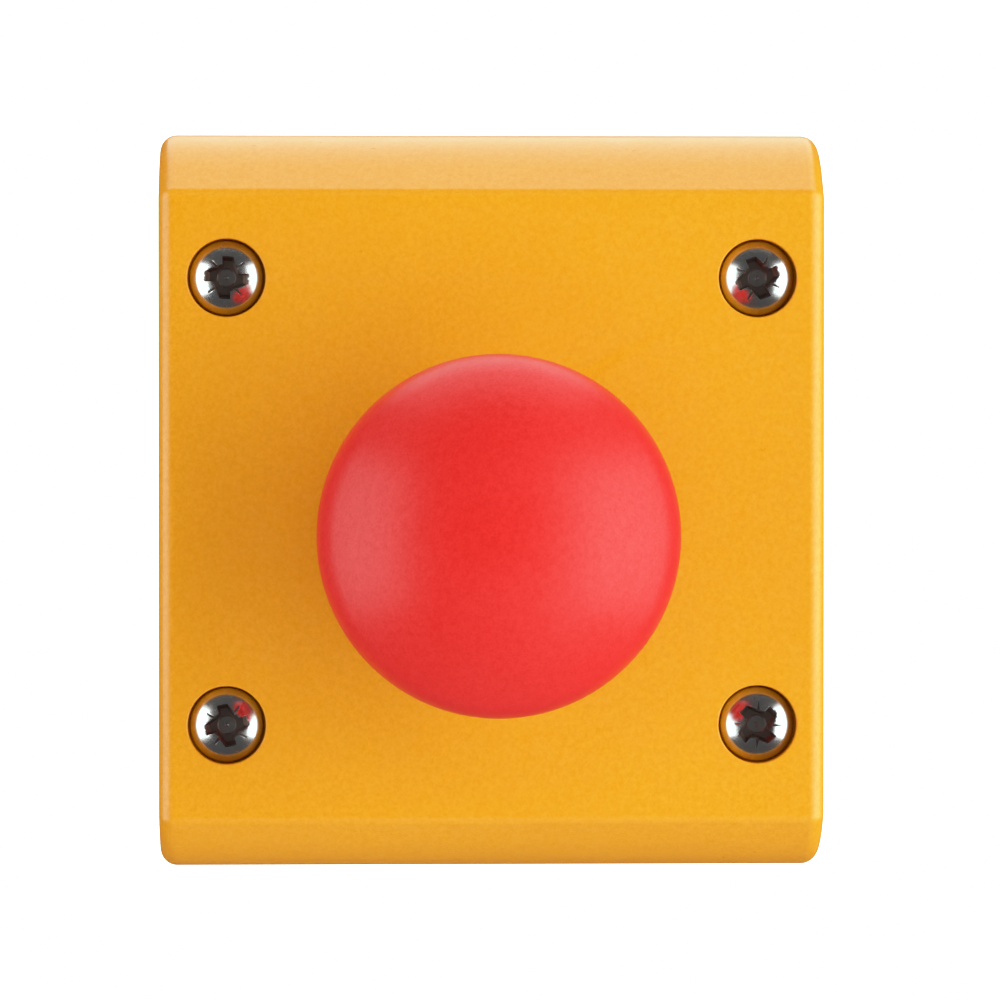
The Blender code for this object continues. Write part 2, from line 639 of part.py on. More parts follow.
def build_contact_block(side, sign, materials):
    """One normally closed contact block, beside the operator's axis."""
    anchor = make_anchor(f"{side}_contact_axis", (sign * BLOCK_PITCH / 2, 0.0, AXIS_Z))
    half_x = BLOCK_WIDTH / 2
    half_z = BLOCK_HEIGHT / 2
    inner_x = half_x - BLOCK_WALL
    front_y = BLOCK_FRONT_Y + 0.002
    chamber_z = BRIDGE_HALF + 0.0006
    beyond_y = BLOCK_REAR_Y + 0.001
    housing = centred_block(half_x, (BLOCK_FRONT_Y, BLOCK_REAR_Y), half_z)
    housing = make_object(f"{side}_contact_housing", housing, materials["housing"], parent=anchor)
    strip_y = (FIXED_CONTACT_Y - 0.0012, FIXED_CONTACT_Y + 0.0002)
    terminal_z = (chamber_z + 0.0014, half_z - 0.0012)
    way = PLUNGER_HALF + 0.0002
    hollows = {
        "chamber": centred_block(inner_x, (front_y, beyond_y), chamber_z),
        "plunger_way": centred_block(way, (BLOCK_FRONT_Y - 0.001, front_y + 0.001), way),
        "strip_slot": centred_block(way, strip_y, terminal_z[0] + 0.001),
        "top_terminal": block((-inner_x, inner_x), (front_y, beyond_y), terminal_z),
        "bottom_terminal": block((-inner_x, inner_x), (front_y, beyond_y), (-terminal_z[1], -terminal_z[0])),
    }
    for name, shape in hollows.items():
        cut(housing, make_object(f"{side}_{name}_tool", shape, parent=anchor))
    for name, sign_z in (("top", 1), ("bottom", -1)):
        z_range = sorted((sign_z * (terminal_z[1] - 0.001), sign_z * (half_z + 0.001)))
        way = block((-0.0022, 0.0022), (FIXED_CONTACT_Y + 0.0006, FIXED_CONTACT_Y + 0.005), z_range)
        cut(housing, make_object(f"{side}_{name}_wire_way_tool", way, parent=anchor))
        build_terminal(side, name, sign_z, terminal_z, anchor, materials)
    build_moving_contact(side, anchor, materials)
    build_rear_cover(side, anchor, materials)


def build_terminal(side, name, sign_z, chamber, anchor, materials):
    """Fixed contact strip that widens into a clamp plate, and its screw."""
    y_range = (FIXED_CONTACT_Y - 0.001, FIXED_CONTACT_Y)
    tip_z = PLUNGER_HALF + 0.0023
    wide_z = chamber[0] + 0.0003
    end_z = chamber[1] - 0.0003
    half_strip = PLUNGER_HALF
    half_plate = BLOCK_WIDTH / 2 - BLOCK_WALL - CLEARANCE
    outline = [
        (-half_strip, tip_z),
        (half_strip, tip_z),
        (half_strip, wide_z),
        (half_plate, wide_z),
        (half_plate, end_z),
        (-half_plate, end_z),
        (-half_plate, wide_z),
        (-half_strip, wide_z),
    ]
    outline = [(x, sign_z * z) for x, z in outline]
    plate = prism(outline, *y_range)
    plate = make_object(f"{side}_{name}_terminal", plate, materials["brass"], parent=anchor)
    shank = 0.0015
    place = (0.0, 0.0, sign_z * TERMINAL_Z)
    hole = cylinder(shank + 0.0002, y_range[0] - 0.001, y_range[1] + 0.001, SMALL_ROUND)
    cut(plate, make_object(f"{side}_{name}_clamp_hole_tool", hole, location=place, parent=anchor))
    head_y = FIXED_CONTACT_Y + 0.0072
    washer_y = head_y - 0.001
    profile = [
        (0.0, y_range[0] - 0.0035),
        (shank, y_range[0] - 0.0035),
        (shank, washer_y),
        (TERMINAL_SCREW_HEAD + 0.0003, washer_y),
        (TERMINAL_SCREW_HEAD + 0.0003, head_y),
        (TERMINAL_SCREW_HEAD - 0.0003, head_y),
        (TERMINAL_SCREW_HEAD - 0.0003, head_y + 0.0018),
        (0.0, head_y + 0.0018),
    ]
    screw = turned(profile, SMALL_ROUND)
    screw = make_object(f"{side}_{name}_terminal_screw", screw, materials["zinc"], place, anchor)
    slot = centred_block(0.0005, (head_y + 0.0009, head_y + 0.003), TERMINAL_SCREW_HEAD + 0.001)
    cut(screw, make_object(f"{side}_{name}_slot_tool", slot, location=place, parent=anchor))


def build_moving_contact(side, anchor, materials):
    """Plunger, bridge and spring of one contact block."""
    plunger = centred_block(PLUNGER_HALF, (PLUNGER_FRONT_Y, BRIDGE_Y - 0.0002), PLUNGER_HALF)
    make_object(f"{side}_contact_plunger", plunger, materials["red"], parent=anchor)
    bridge = centred_block(0.0018, (BRIDGE_Y, BRIDGE_Y + BRIDGE_THICKNESS), BRIDGE_HALF)
    make_object(f"{side}_contact_bridge", bridge, materials["brass"], parent=anchor)
    start_y = BRIDGE_Y + BRIDGE_THICKNESS + 0.0001
    length = BLOCK_REAR_Y + 0.0001 - start_y
    spring = coil(0.0025, 0.0003, 5, length)
    make_object(f"{side}_contact_spring", spring, materials["spring"], (0.0, start_y, 0.0), anchor)


def build_rear_cover(side, anchor, materials):
    """Lid of the contact block, with screwdriver holes and a peg for the spring."""
    y_range = (BLOCK_REAR_Y + 0.0002, BLOCK_REAR_Y + 0.0014)
    lid = centred_block(BLOCK_WIDTH / 2, y_range, BLOCK_HEIGHT / 2)
    lid = make_object(f"{side}_contact_rear_cover", lid, materials["housing"], parent=anchor)
    peg = cylinder(0.0018, y_range[0] - 0.002, y_range[0] + 0.0005, SMALL_ROUND)
    join(lid, make_object(f"{side}_peg_tool", peg, parent=anchor))
    for name, sign_z in (("top", 1), ("bottom", -1)):
        hole = cylinder(0.0023, y_range[0] - 0.001, y_range[1] + 0.001, SMALL_ROUND)
        place = (0.0, 0.0, sign_z * TERMINAL_Z)
        cut(lid, make_object(f"{side}_{name}_driver_hole_tool", hole, location=place, parent=anchor))


def main():
    clear_scene()
    materials = make_materials()
    build_base(materials)
    build_cover(materials)
    operator_axis = make_anchor("operator_axis", (0.0, 0.0, AXIS_Z))
    build_operator(materials, operator_axis)
    build_adapter(materials, operator_axis)
    button_axis = make_anchor("button_axis", (0.0, 0.0, AXIS_Z))
    build_button(materials, button_axis)
    build_latch(materials)
    for side, sign in (("left", -1), ("right", 1)):
        build_contact_block(side, sign, materials)


main()
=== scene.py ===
"""Emergency stop station: every visible piece, its materials and the studio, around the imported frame."""

import math

import bmesh
import bpy
from mathutils import Matrix, Vector


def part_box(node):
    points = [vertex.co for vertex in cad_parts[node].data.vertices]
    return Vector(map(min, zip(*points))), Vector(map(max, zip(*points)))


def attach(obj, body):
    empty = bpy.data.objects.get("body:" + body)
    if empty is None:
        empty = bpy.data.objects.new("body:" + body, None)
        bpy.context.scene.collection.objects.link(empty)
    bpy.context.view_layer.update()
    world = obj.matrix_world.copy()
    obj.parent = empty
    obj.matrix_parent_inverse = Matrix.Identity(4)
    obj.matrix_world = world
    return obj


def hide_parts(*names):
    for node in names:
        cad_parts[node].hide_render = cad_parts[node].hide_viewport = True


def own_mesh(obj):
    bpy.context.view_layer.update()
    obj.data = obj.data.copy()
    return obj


bl_info = {
    "name": "Emergency Stop Station",
    "version": (1, 0, 0),
    "blender": (4, 5, 0),
    "location": "3D View > Sidebar > Stop Station",
    "description": "Builds a surface-mounting emergency stop station around its packed frame",
    "category": "Object",
}

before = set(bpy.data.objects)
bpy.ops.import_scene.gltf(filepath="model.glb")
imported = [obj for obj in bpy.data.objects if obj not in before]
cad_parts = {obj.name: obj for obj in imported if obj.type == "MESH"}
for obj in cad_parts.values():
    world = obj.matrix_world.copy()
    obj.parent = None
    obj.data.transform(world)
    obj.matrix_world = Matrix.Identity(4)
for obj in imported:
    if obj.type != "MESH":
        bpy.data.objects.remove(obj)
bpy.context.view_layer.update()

COVER_LOW, COVER_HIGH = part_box("front_cover")
BASE_LOW, BASE_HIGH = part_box("base_box")
HEAD_LOW, HEAD_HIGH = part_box("mushroom_head")
FACE_Y = COVER_LOW.y
SPLIT_Y = COVER_HIGH.y
RIM_Y = BASE_LOW.y
AXIS_Z = (HEAD_LOW.z + HEAD_HIGH.z) / 2
AXIS = Vector((0.0, 0.0, AXIS_Z))
SIDES = (("left", -1), ("right", 1))
CORNERS = ("top_left", "top_right", "bottom_left", "bottom_right")
PAST = 0.001  # how far most cutters run past the surface they open


def centre_of(node):
    low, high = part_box(node)
    return (low + high) / 2


def half_size(node):
    """Half width and half height of a node."""
    low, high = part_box(node)
    return (high.x - low.x) / 2, (high.z - low.z) / 2


def reach(node):
    """Half width of a round node."""
    return half_size(node)[0]


def span(sign, near, far):
    """Range between two distances from the middle, on one side of it."""
    return sorted((sign * near, sign * far))


def four_places(across, up):
    """Places at the given distances on both sides of the middle, above and below it."""
    return [(sign_x * across, 0.0, sign_z * up) for sign_x in (-1, 1) for sign_z in (-1, 1)]


def corner_places():
    """The (x, 0, z) places of the four cover screws."""
    middles = [centre_of(f"cover_screw_{name}") for name in CORNERS]
    return [Vector((middle.x, 0.0, middle.z)) for middle in middles]


# Small mesh tools ------------------------------------------------------------------------------


def skin(bm, first, second):
    """Faces between two closed loops, either of which may be a single pole."""
    count = max(len(first), len(second))
    for i in range(count):
        j = (i + 1) % count
        corners = []
        for loop, order in ((first, (i, j)), (second, (j, i))):
            if len(loop) == 1:
                corners.append(loop[0])
            else:
                corners.extend(loop[k] for k in order)
        bm.faces.new(corners)


def tube(inner, outer, start, end):
    """Turned profile of a straight ring between two places along Y."""
    return [(inner, start), (outer, start), (outer, end), (inner, end)]


def rod(radius, start, end):
    """Turned profile of a solid cylinder between two places along Y."""
    return tube(0.0, radius, start, end)


def turned(profile, segments=96):
    """Body turned about the local Y axis from (radius, y) points; a ring if it stays off the axis."""
    bm = bmesh.new()
    rings = []
    for radius, y in profile:
        if radius <= 0.0:
            rings.append([bm.verts.new((0.0, y, 0.0))])
            continue
        ring = []
        for step in range(segments):
            angle = 2.0 * math.pi * step / segments
            ring.append(bm.verts.new((radius * math.cos(angle), y, radius * math.sin(angle))))
        rings.append(ring)
    for first, second in zip(rings, rings[1:]):
        skin(bm, first, second)
    if len(rings[0]) > 1:
        skin(bm, rings[-1], rings[0])
    return bm


def stacked(loops, closed_ring=False):
    """Closed body skinned over equal loops of points, with flat ends or joined into a ring."""
    bm = bmesh.new()
    rows = [[bm.verts.new(point) for point in loop] for loop in loops]
    for first, second in zip(rows, rows[1:]):
        skin(bm, first, second)
    if closed_ring:
        skin(bm, rows[-1], rows[0])
    else:
        bm.faces.new(rows[0])
        bm.faces.new(rows[-1])
    return bm


def soften(points, radius, steps=3, closed=True):
    """Round every corner of an outline; the ends of an open one stay as they are."""
    result = []
    count = len(points)
    for i, point in enumerate(points):
        here = Vector(point)
        if not closed and i in (0, count - 1):
            result.append(tuple(here))
            continue
        back = Vector(points[i - 1]) - here
        ahead = Vector(points[(i + 1) % count]) - here
        reach = min(radius, 0.45 * back.length, 0.45 * ahead.length)
        start = here + back.normalized() * reach
        end = here + ahead.normalized() * reach
        for step in range(steps + 1):
            share = step / steps
            bend = start * (1 - share) ** 2 + here * (2 * share * (1 - share)) + end * share ** 2
            result.append(tuple(bend))
    return result


def arc(centre, radius, start, end, steps):
    """(radius, height) points of an arc, with angles measured from the second axis."""
    points = []
    for step in range(steps + 1):
        angle = start + (end - start) * step / steps
        points.append((centre[0] + radius * math.sin(angle), centre[1] + radius * math.cos(angle)))
    return points


def rectangle(x_range, z_range):
    left, right = x_range
    low, high = z_range
    return [(left, low), (right, low), (right, high), (left, high)]


def centred(half_x, half_z):
    return rectangle((-half_x, half_x), (-half_z, half_z))


def prism(outline, y_range):
    """Straight body along Y from an (x, z) outline."""
    return stacked([[(x, y, z) for x, z in outline] for y in y_range])


def block(x_range, y_range, z_range):
    return prism(rectangle(x_range, z_range), y_range)


def spun(bm, angle, axis="Y"):
    """The shape turned about an axis through the origin."""
    bmesh.ops.rotate(bm, verts=bm.verts, cent=(0, 0, 0), matrix=Matrix.Rotation(angle, 3, axis))
    return bm


def on_side(bm, sign):
    """The shape as it is for a positive sign, mirrored to the lower side for a negative one."""
    bmesh.ops.scale(bm, vec=(1, 1, sign), verts=bm.verts)
    return bm


def spin_points(points, angle):
    """(x, z) points turned about the origin."""
    cosine = math.cos(angle)
    sine = math.sin(angle)
    return [(x * cosine - z * sine, x * sine + z * cosine) for x, z in points]


def merge_parts(*parts):
    """Several bmeshes as one, each kept as its own shell."""
    whole = bmesh.new()
    for part in parts:
        spare = bpy.data.meshes.new("spare")
        part.to_mesh(spare)
        part.free()
        whole.from_mesh(spare)
        bpy.data.meshes.remove(spare)
    return whole


def link_mesh(name, bm):
    """New object in the scene that holds the shape; the bmesh is used up."""
    mesh = bpy.data.meshes.new(name)
    bm.to_mesh(mesh)
    bm.free()
    obj = bpy.data.objects.new(name, mesh)
    bpy.context.scene.collection.objects.link(obj)
    return obj


class Piece:
    """One visible piece while it is made: shape, cuts, then a plain mesh with its slot's material."""

    def __init__(self, name, bm, slot, at=(0.0, 0.0, 0.0)):
        bmesh.ops.recalc_face_normals(bm, faces=bm.faces)
        self.object = link_mesh(name, bm)
        self.slot = slot
        self.material = finish_of(slot)
        self.object.data.materials.append(self.material)
        self.place = Matrix.Translation(at)
        self.tools = []

    def _combine(self, bm, operation, at):
        bmesh.ops.recalc_face_normals(bm, faces=bm.faces)
        tool = link_mesh("tool", bm)
        tool.data.transform(Matrix.Translation(at))
        modifier = self.object.modifiers.new("Combine", "BOOLEAN")
        modifier.operation = operation
        modifier.solver = "EXACT"
        modifier.object = tool
        self.tools.append(tool)

    def cut(self, bm, at=(0.0, 0.0, 0.0)):
        self._combine(bm, "DIFFERENCE", at)

    def add(self, bm, at=(0.0, 0.0, 0.0)):
        self._combine(bm, "UNION", at)

    def bevel(self, width, segments=2, angle=32.0):
        modifier = self.object.modifiers.new("Soft edges", "BEVEL")
        modifier.width = width
        modifier.segments = segments
        modifier.limit_method = "ANGLE"
        modifier.angle_limit = math.radians(angle)
        modifier.use_clamp_overlap = True

    def run_tree(self, name, **values):
        """Shape the piece by a geometry tree; an underscore in a value's name stands for a space."""
        named = {label.replace("_", " "): value for label, value in values.items()}
        set_tree(self.object, tree_of(name), {"Material": self.material, **named})

    def bake(self):
        """Apply the cuts and trees, and drop the cutters."""
        bake_modifiers(self.object)
        for tool in self.tools:
            bpy.data.objects.remove(tool, do_unlink=True)
        self.tools = []

    def finish(self, body, *nodes, sharp=32.0):
        """Plain mesh in its place, shaded, riding on its body and standing for its nodes."""
        self.bake()
        self.object.data.transform(self.place)
        return settle(self.object, body, nodes, sharp)


def settle(obj, body, nodes, sharp):
    """Shade the mesh, hang it on its body's empty and hide the nodes that it stands for."""
    shade(obj, sharp)
    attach(obj, body)
    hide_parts(*nodes)
    return obj


def bake_modifiers(obj):
    """Replace the mesh by its evaluated shape and drop the modifiers."""
    if not obj.modifiers:
        return
    graph = bpy.context.evaluated_depsgraph_get()
    mesh = bpy.data.meshes.new_from_object(obj.evaluated_get(graph))
    obj.modifiers.clear()
    old = obj.data
    obj.data = mesh
    mesh.name = obj.name
    bpy.data.meshes.remove(old)


def shade(obj, sharp):
    """Smooth shading with sharp corners, where large flat faces keep their true normals."""
    bm = bmesh.new()
    bm.from_mesh(obj.data)
    bmesh.ops.dissolve_limit(bm, angle_limit=math.radians(0.1), use_dissolve_boundaries=False, verts=bm.verts,
                             edges=bm.edges, delimit=set())
    bm.to_mesh(obj.data)
    bm.free()
    obj.data.shade_smooth()
    obj.data.set_sharp_from_angle(angle=math.radians(sharp))
    modifier = obj.modifiers.new("Even shading", "WEIGHTED_NORMAL")
    modifier.keep_sharp = True
    modifier.weight = 100
    bake_modifiers(obj)


# Node nets ---------------------------------------------------------------------------------------


class Net:
    """Short way to lay nodes into a shader or geometry tree."""

    def __init__(self, tree):
        self.tree = tree

    def add(self, kind, inputs=None, **settings):
        node = self.tree.nodes.new(kind)
        for name, value in settings.items():
            setattr(node, name, value)
        for name, value in (inputs or {}).items():
            self.feed(node.inputs[name], value)
        return node

    def feed(self, socket, value):
        if isinstance(value, bpy.types.NodeSocket):
            self.tree.links.new(value, socket)
        else:
            socket.default_value = value

    def math(self, operation, first, second=0.0):
        return self.add("ShaderNodeMath", {0: first, 1: second}, operation=operation).outputs[0]

    def join(self, across, along, up):
        """Vector from its three parts."""
        return self.add("ShaderNodeCombineXYZ", {0: across, 1: along, 2: up}).outputs[0]

    def noise(self, vector, size, detail, roughness=0.5):
        """Cloudy value whose lumps have about the given size."""
        scale = self.math("DIVIDE", 1.0, size)
        values = {"Vector": vector, "Scale": scale, "Detail": detail, "Roughness": roughness}
        return self.add("ShaderNodeTexNoise", values).outputs[0]

    def spread(self, value, low, high, to_low=0.0, to_high=1.0):
        """Value moved from one range to another, and held at its ends."""
        inputs = {"Value": value, "From Min": low, "From Max": high, "To Min": to_low, "To Max": to_high}
        return self.add("ShaderNodeMapRange", inputs).outputs["Result"]

    def mix(self, share, first, second):
        node = self.add("ShaderNodeMix", data_type="RGBA")
        self.feed(node.inputs[0], share)
        self.feed(node.inputs[6], first)
        self.feed(node.inputs[7], second)
        return node.outputs[2]


def new_group(name, kind, inputs, outputs):
    """Node group with named sockets; returns it with its net, input node and output node."""
    tree = bpy.data.node_groups.new(name, kind)
    for label, socket_type, default in inputs:
        socket = tree.interface.new_socket(label, in_out="INPUT", socket_type=socket_type)
        if default is not None:
            socket.default_value = default
    for label, socket_type in outputs:
        tree.interface.new_socket(label, in_out="OUTPUT", socket_type=socket_type)
    net = Net(tree)
    return tree, net, net.add("NodeGroupInput").outputs, net.add("NodeGroupOutput").inputs


def set_tree(obj, tree, values):
    """Give the object a geometry tree with its input values, set by each socket's identifier."""
    modifier = obj.modifiers.new(tree.name, "NODES")
    modifier.node_group = tree
    for item in tree.interface.items_tree:
        if item.item_type == "SOCKET" and item.in_out == "INPUT" and item.name in values:
            modifier[item.identifier] = values[item.name]


FLOAT = "NodeSocketFloat"
WHOLE = "NodeSocketInt"
VECTOR = "NodeSocketVector"
SHAPE = "NodeSocketGeometry"
FINISH = "NodeSocketMaterial"
COLOUR = "NodeSocketColor"


def close_tree(net, shape, finish, end):
    """Every geometry tree ends in real geometry with its material."""
    real = net.add("GeometryNodeRealizeInstances", {"Geometry": shape}).outputs[0]
    done = net.add("GeometryNodeSetMaterial", {"Geometry": real, "Material": finish}).outputs[0]
    net.feed(end["Geometry"], done)


def place_about_axis(net):
    """Parts of the position, with its distance from the Y axis and its angle about it."""
    place = net.add("ShaderNodeSeparateXYZ", {0: net.add("GeometryNodeInputPosition").outputs[0]}).outputs
    squares = [net.math("MULTIPLY", place[part], place[part]) for part in (0, 2)]
    return place, net.math("SQRT", net.math("ADD", *squares)), net.math("ARCTAN2", place[2], place[0])


def sink_towards_axis(net, start, place, radius, share):
    """The shape with each point outside the core drawn towards the Y axis by a share of the depth."""
    outside = net.math("GREATER_THAN", radius, start["Core Radius"])
    drop = net.math("MULTIPLY", net.math("MULTIPLY", share, outside), start["Depth"])
    scale = net.math("SUBTRACT", 1.0, net.math("DIVIDE", drop, net.math("MAXIMUM", radius, 0.0001)))
    across = net.math("MULTIPLY", place[0], scale)
    up = net.math("MULTIPLY", place[2], scale)
    values = {"Geometry": start["Geometry"], "Position": net.join(across, place[1], up)}
    return net.add("GeometryNodeSetPosition", values).outputs[0]


def make_thread_tree():
    """Cuts a screw thread into a turned body about the Y axis, where it is wider than its core."""
    inputs = (
        ("Geometry", SHAPE, None),
        ("Pitch", FLOAT, 0.0007),
        ("Depth", FLOAT, 0.0003),
        ("Start", FLOAT, 0.0),
        ("End", FLOAT, 0.01),
        ("Run Out", FLOAT, 0.0006),
        ("Core Radius", FLOAT, 0.001),
        ("Material", FINISH, None),
    )
    tree, net, start, end = new_group("Screw thread", "GeometryNodeTree", inputs, (("Geometry", SHAPE),))
    place, radius, angle = place_about_axis(net)
    turn = net.math("DIVIDE", angle, 2.0 * math.pi)
    phase = net.math("FRACT", net.math("ADD", net.math("DIVIDE", place[1], start["Pitch"]), turn))
    ridge = net.math("MULTIPLY", net.math("ABSOLUTE", net.math("SUBTRACT", phase, 0.5)), 2.0)
    groove = net.spread(ridge, 0.12, 0.88, 1.0, 0.0)
    lead = net.spread(net.math("SUBTRACT", place[1], start["Start"]), 0.0, start["Run Out"])
    tail = net.spread(net.math("SUBTRACT", start["End"], place[1]), 0.0, start["Run Out"])
    share = net.math("MULTIPLY", net.math("MULTIPLY", lead, tail), groove)
    close_tree(net, sink_towards_axis(net, start, place, radius, share), start["Material"], end)
    return tree


def make_coil_tree():
    """Compression spring along +Y from the local origin, with closed end turns."""
    inputs = (
        ("Geometry", SHAPE, None),
        ("Turns", FLOAT, 8.0),
        ("Closed Turns", FLOAT, 1.0),
        ("Coil Radius", FLOAT, 0.005),
        ("Wire Radius", FLOAT, 0.0005),
        ("Length", FLOAT, 0.02),
        ("Points", WHOLE, 400),
        ("Wire Sides", WHOLE, 12),
        ("Material", FINISH, None),
    )
    tree, net, start, end = new_group("Spring", "GeometryNodeTree", inputs, (("Geometry", SHAPE),))
    line = net.add("GeometryNodeCurvePrimitiveLine").outputs[0]
    line = net.add("GeometryNodeResampleCurve", {"Curve": line, "Count": start["Points"]}).outputs[0]
    turn = net.math("MULTIPLY", net.add("GeometryNodeSplineParameter").outputs["Factor"], start["Turns"])
    closed = start["Closed Turns"]
    thick = net.math("MULTIPLY", start["Wire Radius"], 2.03)
    rest = net.math("SUBTRACT", start["Turns"], closed)
    lower = net.math("MULTIPLY", net.math("MINIMUM", turn, closed), thick)
    upper = net.math("MULTIPLY", net.math("MAXIMUM", net.math("SUBTRACT", turn, rest), 0.0), thick)
    ends = net.math("MULTIPLY", net.math("ADD", closed, 0.5), net.math("MULTIPLY", thick, 2.0))
    open_length = net.math("SUBTRACT", start["Length"], ends)
    middle = net.spread(turn, closed, rest, 0.0, open_length)
    height = net.math("ADD", net.math("ADD", lower, upper), net.math("ADD", middle, start["Wire Radius"]))
    angle = net.math("MULTIPLY", turn, 2.0 * math.pi)
    across = net.math("MULTIPLY", net.math("COSINE", angle), start["Coil Radius"])
    along = net.math("MULTIPLY", net.math("SINE", angle), start["Coil Radius"])
    values = {"Geometry": line, "Position": net.join(across, height, along)}
    helix = net.add("GeometryNodeSetPosition", values).outputs[0]
    values = {"Resolution": start["Wire Sides"], "Radius": start["Wire Radius"]}
    ring = net.add("GeometryNodeCurvePrimitiveCircle", values).outputs[0]
    wire = net.add("GeometryNodeCurveToMesh", {"Curve": helix, "Profile Curve": ring, "Fill Caps": True})
    close_tree(net, wire.outputs[0], start["Material"], end)
    return tree


def make_row_tree():
    """Copies of the shape in a straight row, all one piece."""
    inputs = (
        ("Geometry", SHAPE, None),
        ("Count", WHOLE, 4),
        ("Step", VECTOR, (0.0, 0.0, 0.002)),
        ("Material", FINISH, None),
    )
    tree, net, start, end = new_group("Row of copies", "GeometryNodeTree", inputs, (("Geometry", SHAPE),))
    line = net.add("GeometryNodeMeshLine", {"Count": start["Count"], "Offset": start["Step"]}, mode="OFFSET")
    values = {"Points": line.outputs[0], "Instance": start["Geometry"]}
    copies = net.add("GeometryNodeInstanceOnPoints", values)
    close_tree(net, copies.outputs[0], start["Material"], end)
    return tree


def make_places_tree():
    """One shape at every point of the base mesh, turned about Y by the point's own turn value."""
    inputs = (
        ("Geometry", SHAPE, None),
        ("Shape", "NodeSocketObject", None),
        ("Material", FINISH, None),
    )
    tree, net, start, end = new_group("Copies at places", "GeometryNodeTree", inputs, (("Geometry", SHAPE),))
    shape = net.add("GeometryNodeObjectInfo", {"Object": start["Shape"]}).outputs["Geometry"]
    turn = net.add("GeometryNodeInputNamedAttribute", {"Name": "turn"}, data_type="FLOAT").outputs[0]
    spin = net.join(0.0, turn, 0.0)
    copies = net.add("GeometryNodeInstanceOnPoints", {"Points": start["Geometry"], "Instance": shape})
    net.feed(copies.inputs["Rotation"], spin)
    close_tree(net, copies.outputs[0], start["Material"], end)
    return tree


def make_knurl_tree():
    """Straight ridges round a turned body about the Y axis, within a band of its outside."""
    inputs = (
        ("Geometry", SHAPE, None),
        ("Ridges", FLOAT, 24.0),
        ("Depth", FLOAT, 0.0002),
        ("Start", FLOAT, 0.0),
        ("End", FLOAT, 0.01),
        ("Core Radius", FLOAT, 0.001),
        ("Material", FINISH, None),
    )
    tree, net, start, end = new_group("Knurl", "GeometryNodeTree", inputs, (("Geometry", SHAPE),))
    place, radius, angle = place_about_axis(net)
    wave = net.math("COSINE", net.math("MULTIPLY", angle, start["Ridges"]))
    groove = net.spread(wave, -0.5, 0.5)
    inside = net.math("MULTIPLY", net.math("GREATER_THAN", place[1], start["Start"]),
                      net.math("LESS_THAN", place[1], start["End"]))
    share = net.math("MULTIPLY", groove, inside)
    close_tree(net, sink_towards_axis(net, start, place, radius, share), start["Material"], end)
    return tree


# Materials ---------------------------------------------------------------------------------------


def make_moulding_group():
    """Spark-eroded mould texture: fine grain, slow tone drift and faint handling marks."""
    inputs = (
        ("Vector", VECTOR, None),
        ("Grain Size", FLOAT, 0.0003),
        ("Drift Size", FLOAT, 0.012),
        ("Mark Size", FLOAT, 0.004),
    )
    outputs = (("Height", FLOAT), ("Grain", FLOAT), ("Drift", FLOAT), ("Marks", FLOAT))
    tree, net, start, end = new_group("Moulded surface", "ShaderNodeTree", inputs, outputs)
    vector = start["Vector"]
    fine = net.noise(vector, start["Grain Size"], 2.0, 0.6)
    coarse = net.noise(vector, net.math("MULTIPLY", start["Grain Size"], 2.7), 1.0)
    height = net.math("ADD", net.math("MULTIPLY", fine, 0.65), net.math("MULTIPLY", coarse, 0.35))
    net.feed(end["Height"], height)
    net.feed(end["Grain"], net.spread(height, 0.36, 0.64))
    net.feed(end["Drift"], net.spread(net.noise(vector, start["Drift Size"], 2.0), 0.3, 0.7))
    net.feed(end["Marks"], net.spread(net.noise(vector, start["Mark Size"], 4.0, 0.62), 0.5, 0.72))
    return tree


def make_wear_group():
    """Mask of the raised edges, broken up by noise, for rubbed and lightened corners."""
    inputs = (("Vector", VECTOR, None), ("Spread", FLOAT, 0.06), ("Break Up Size", FLOAT, 0.0012))
    tree, net, start, end = new_group("Edge wear", "ShaderNodeTree", inputs, (("Mask", FLOAT),))
    edge = net.add("ShaderNodeNewGeometry").outputs["Pointiness"]
    high = net.math("ADD", 0.5, start["Spread"])
    raised = net.spread(edge, 0.505, high)
    speckle = net.spread(net.noise(start["Vector"], start["Break Up Size"], 3.0), 0.35, 0.65, 0.35, 1.0)
    net.feed(end["Mask"], net.math("MULTIPLY", raised, speckle))
    return tree


def make_metal_group():
    """Rolled or plated metal: fine stretched lines, cloudy plating tone and small pits."""
    inputs = (
        ("Vector", VECTOR, None),
        ("Line Size", FLOAT, 0.00012),
        ("Stretch", FLOAT, 8.0),
        ("Cloud Size", FLOAT, 0.0015),
    )
    outputs = (("Height", FLOAT), ("Lines", FLOAT), ("Clouds", FLOAT))
    tree, net, start, end = new_group("Worked metal", "ShaderNodeTree", inputs, outputs)
    parts = net.add("ShaderNodeSeparateXYZ", {0: start["Vector"]}).outputs
    squeezed = net.join(parts[0], net.math("DIVIDE", parts[1], start["Stretch"]), parts[2])
    lines = net.noise(squeezed, start["Line Size"], 2.0)
    clouds = net.noise(start["Vector"], start["Cloud Size"], 4.0)
    net.feed(end["Height"], lines)
    net.feed(end["Lines"], net.spread(lines, 0.35, 0.65))
    net.feed(end["Clouds"], net.spread(clouds, 0.32, 0.68))
    return tree


TREES = {}


def tree_of(name):
    """A node tree by its short name, made when it is first asked for."""
    makers = {
        "thread": make_thread_tree,
        "coil": make_coil_tree,
        "row": make_row_tree,
        "places": make_places_tree,
        "knurl": make_knurl_tree,
        "moulding": make_moulding_group,
        "wear": make_wear_group,
        "metal": make_metal_group,
    }
    if name not in TREES:
        TREES[name] = makers[name]()
    return TREES[name]


def start_material(name, metallic=0.0):
    material = bpy.data.materials.new(name)
    material.use_nodes = True
    net = Net(material.node_tree)
    shader = material.node_tree.nodes["Principled BSDF"]
    shader.inputs["Metallic"].default_value = metallic
    vector = net.add("ShaderNodeTexCoord").outputs["Object"]
    return material, net, shader, vector


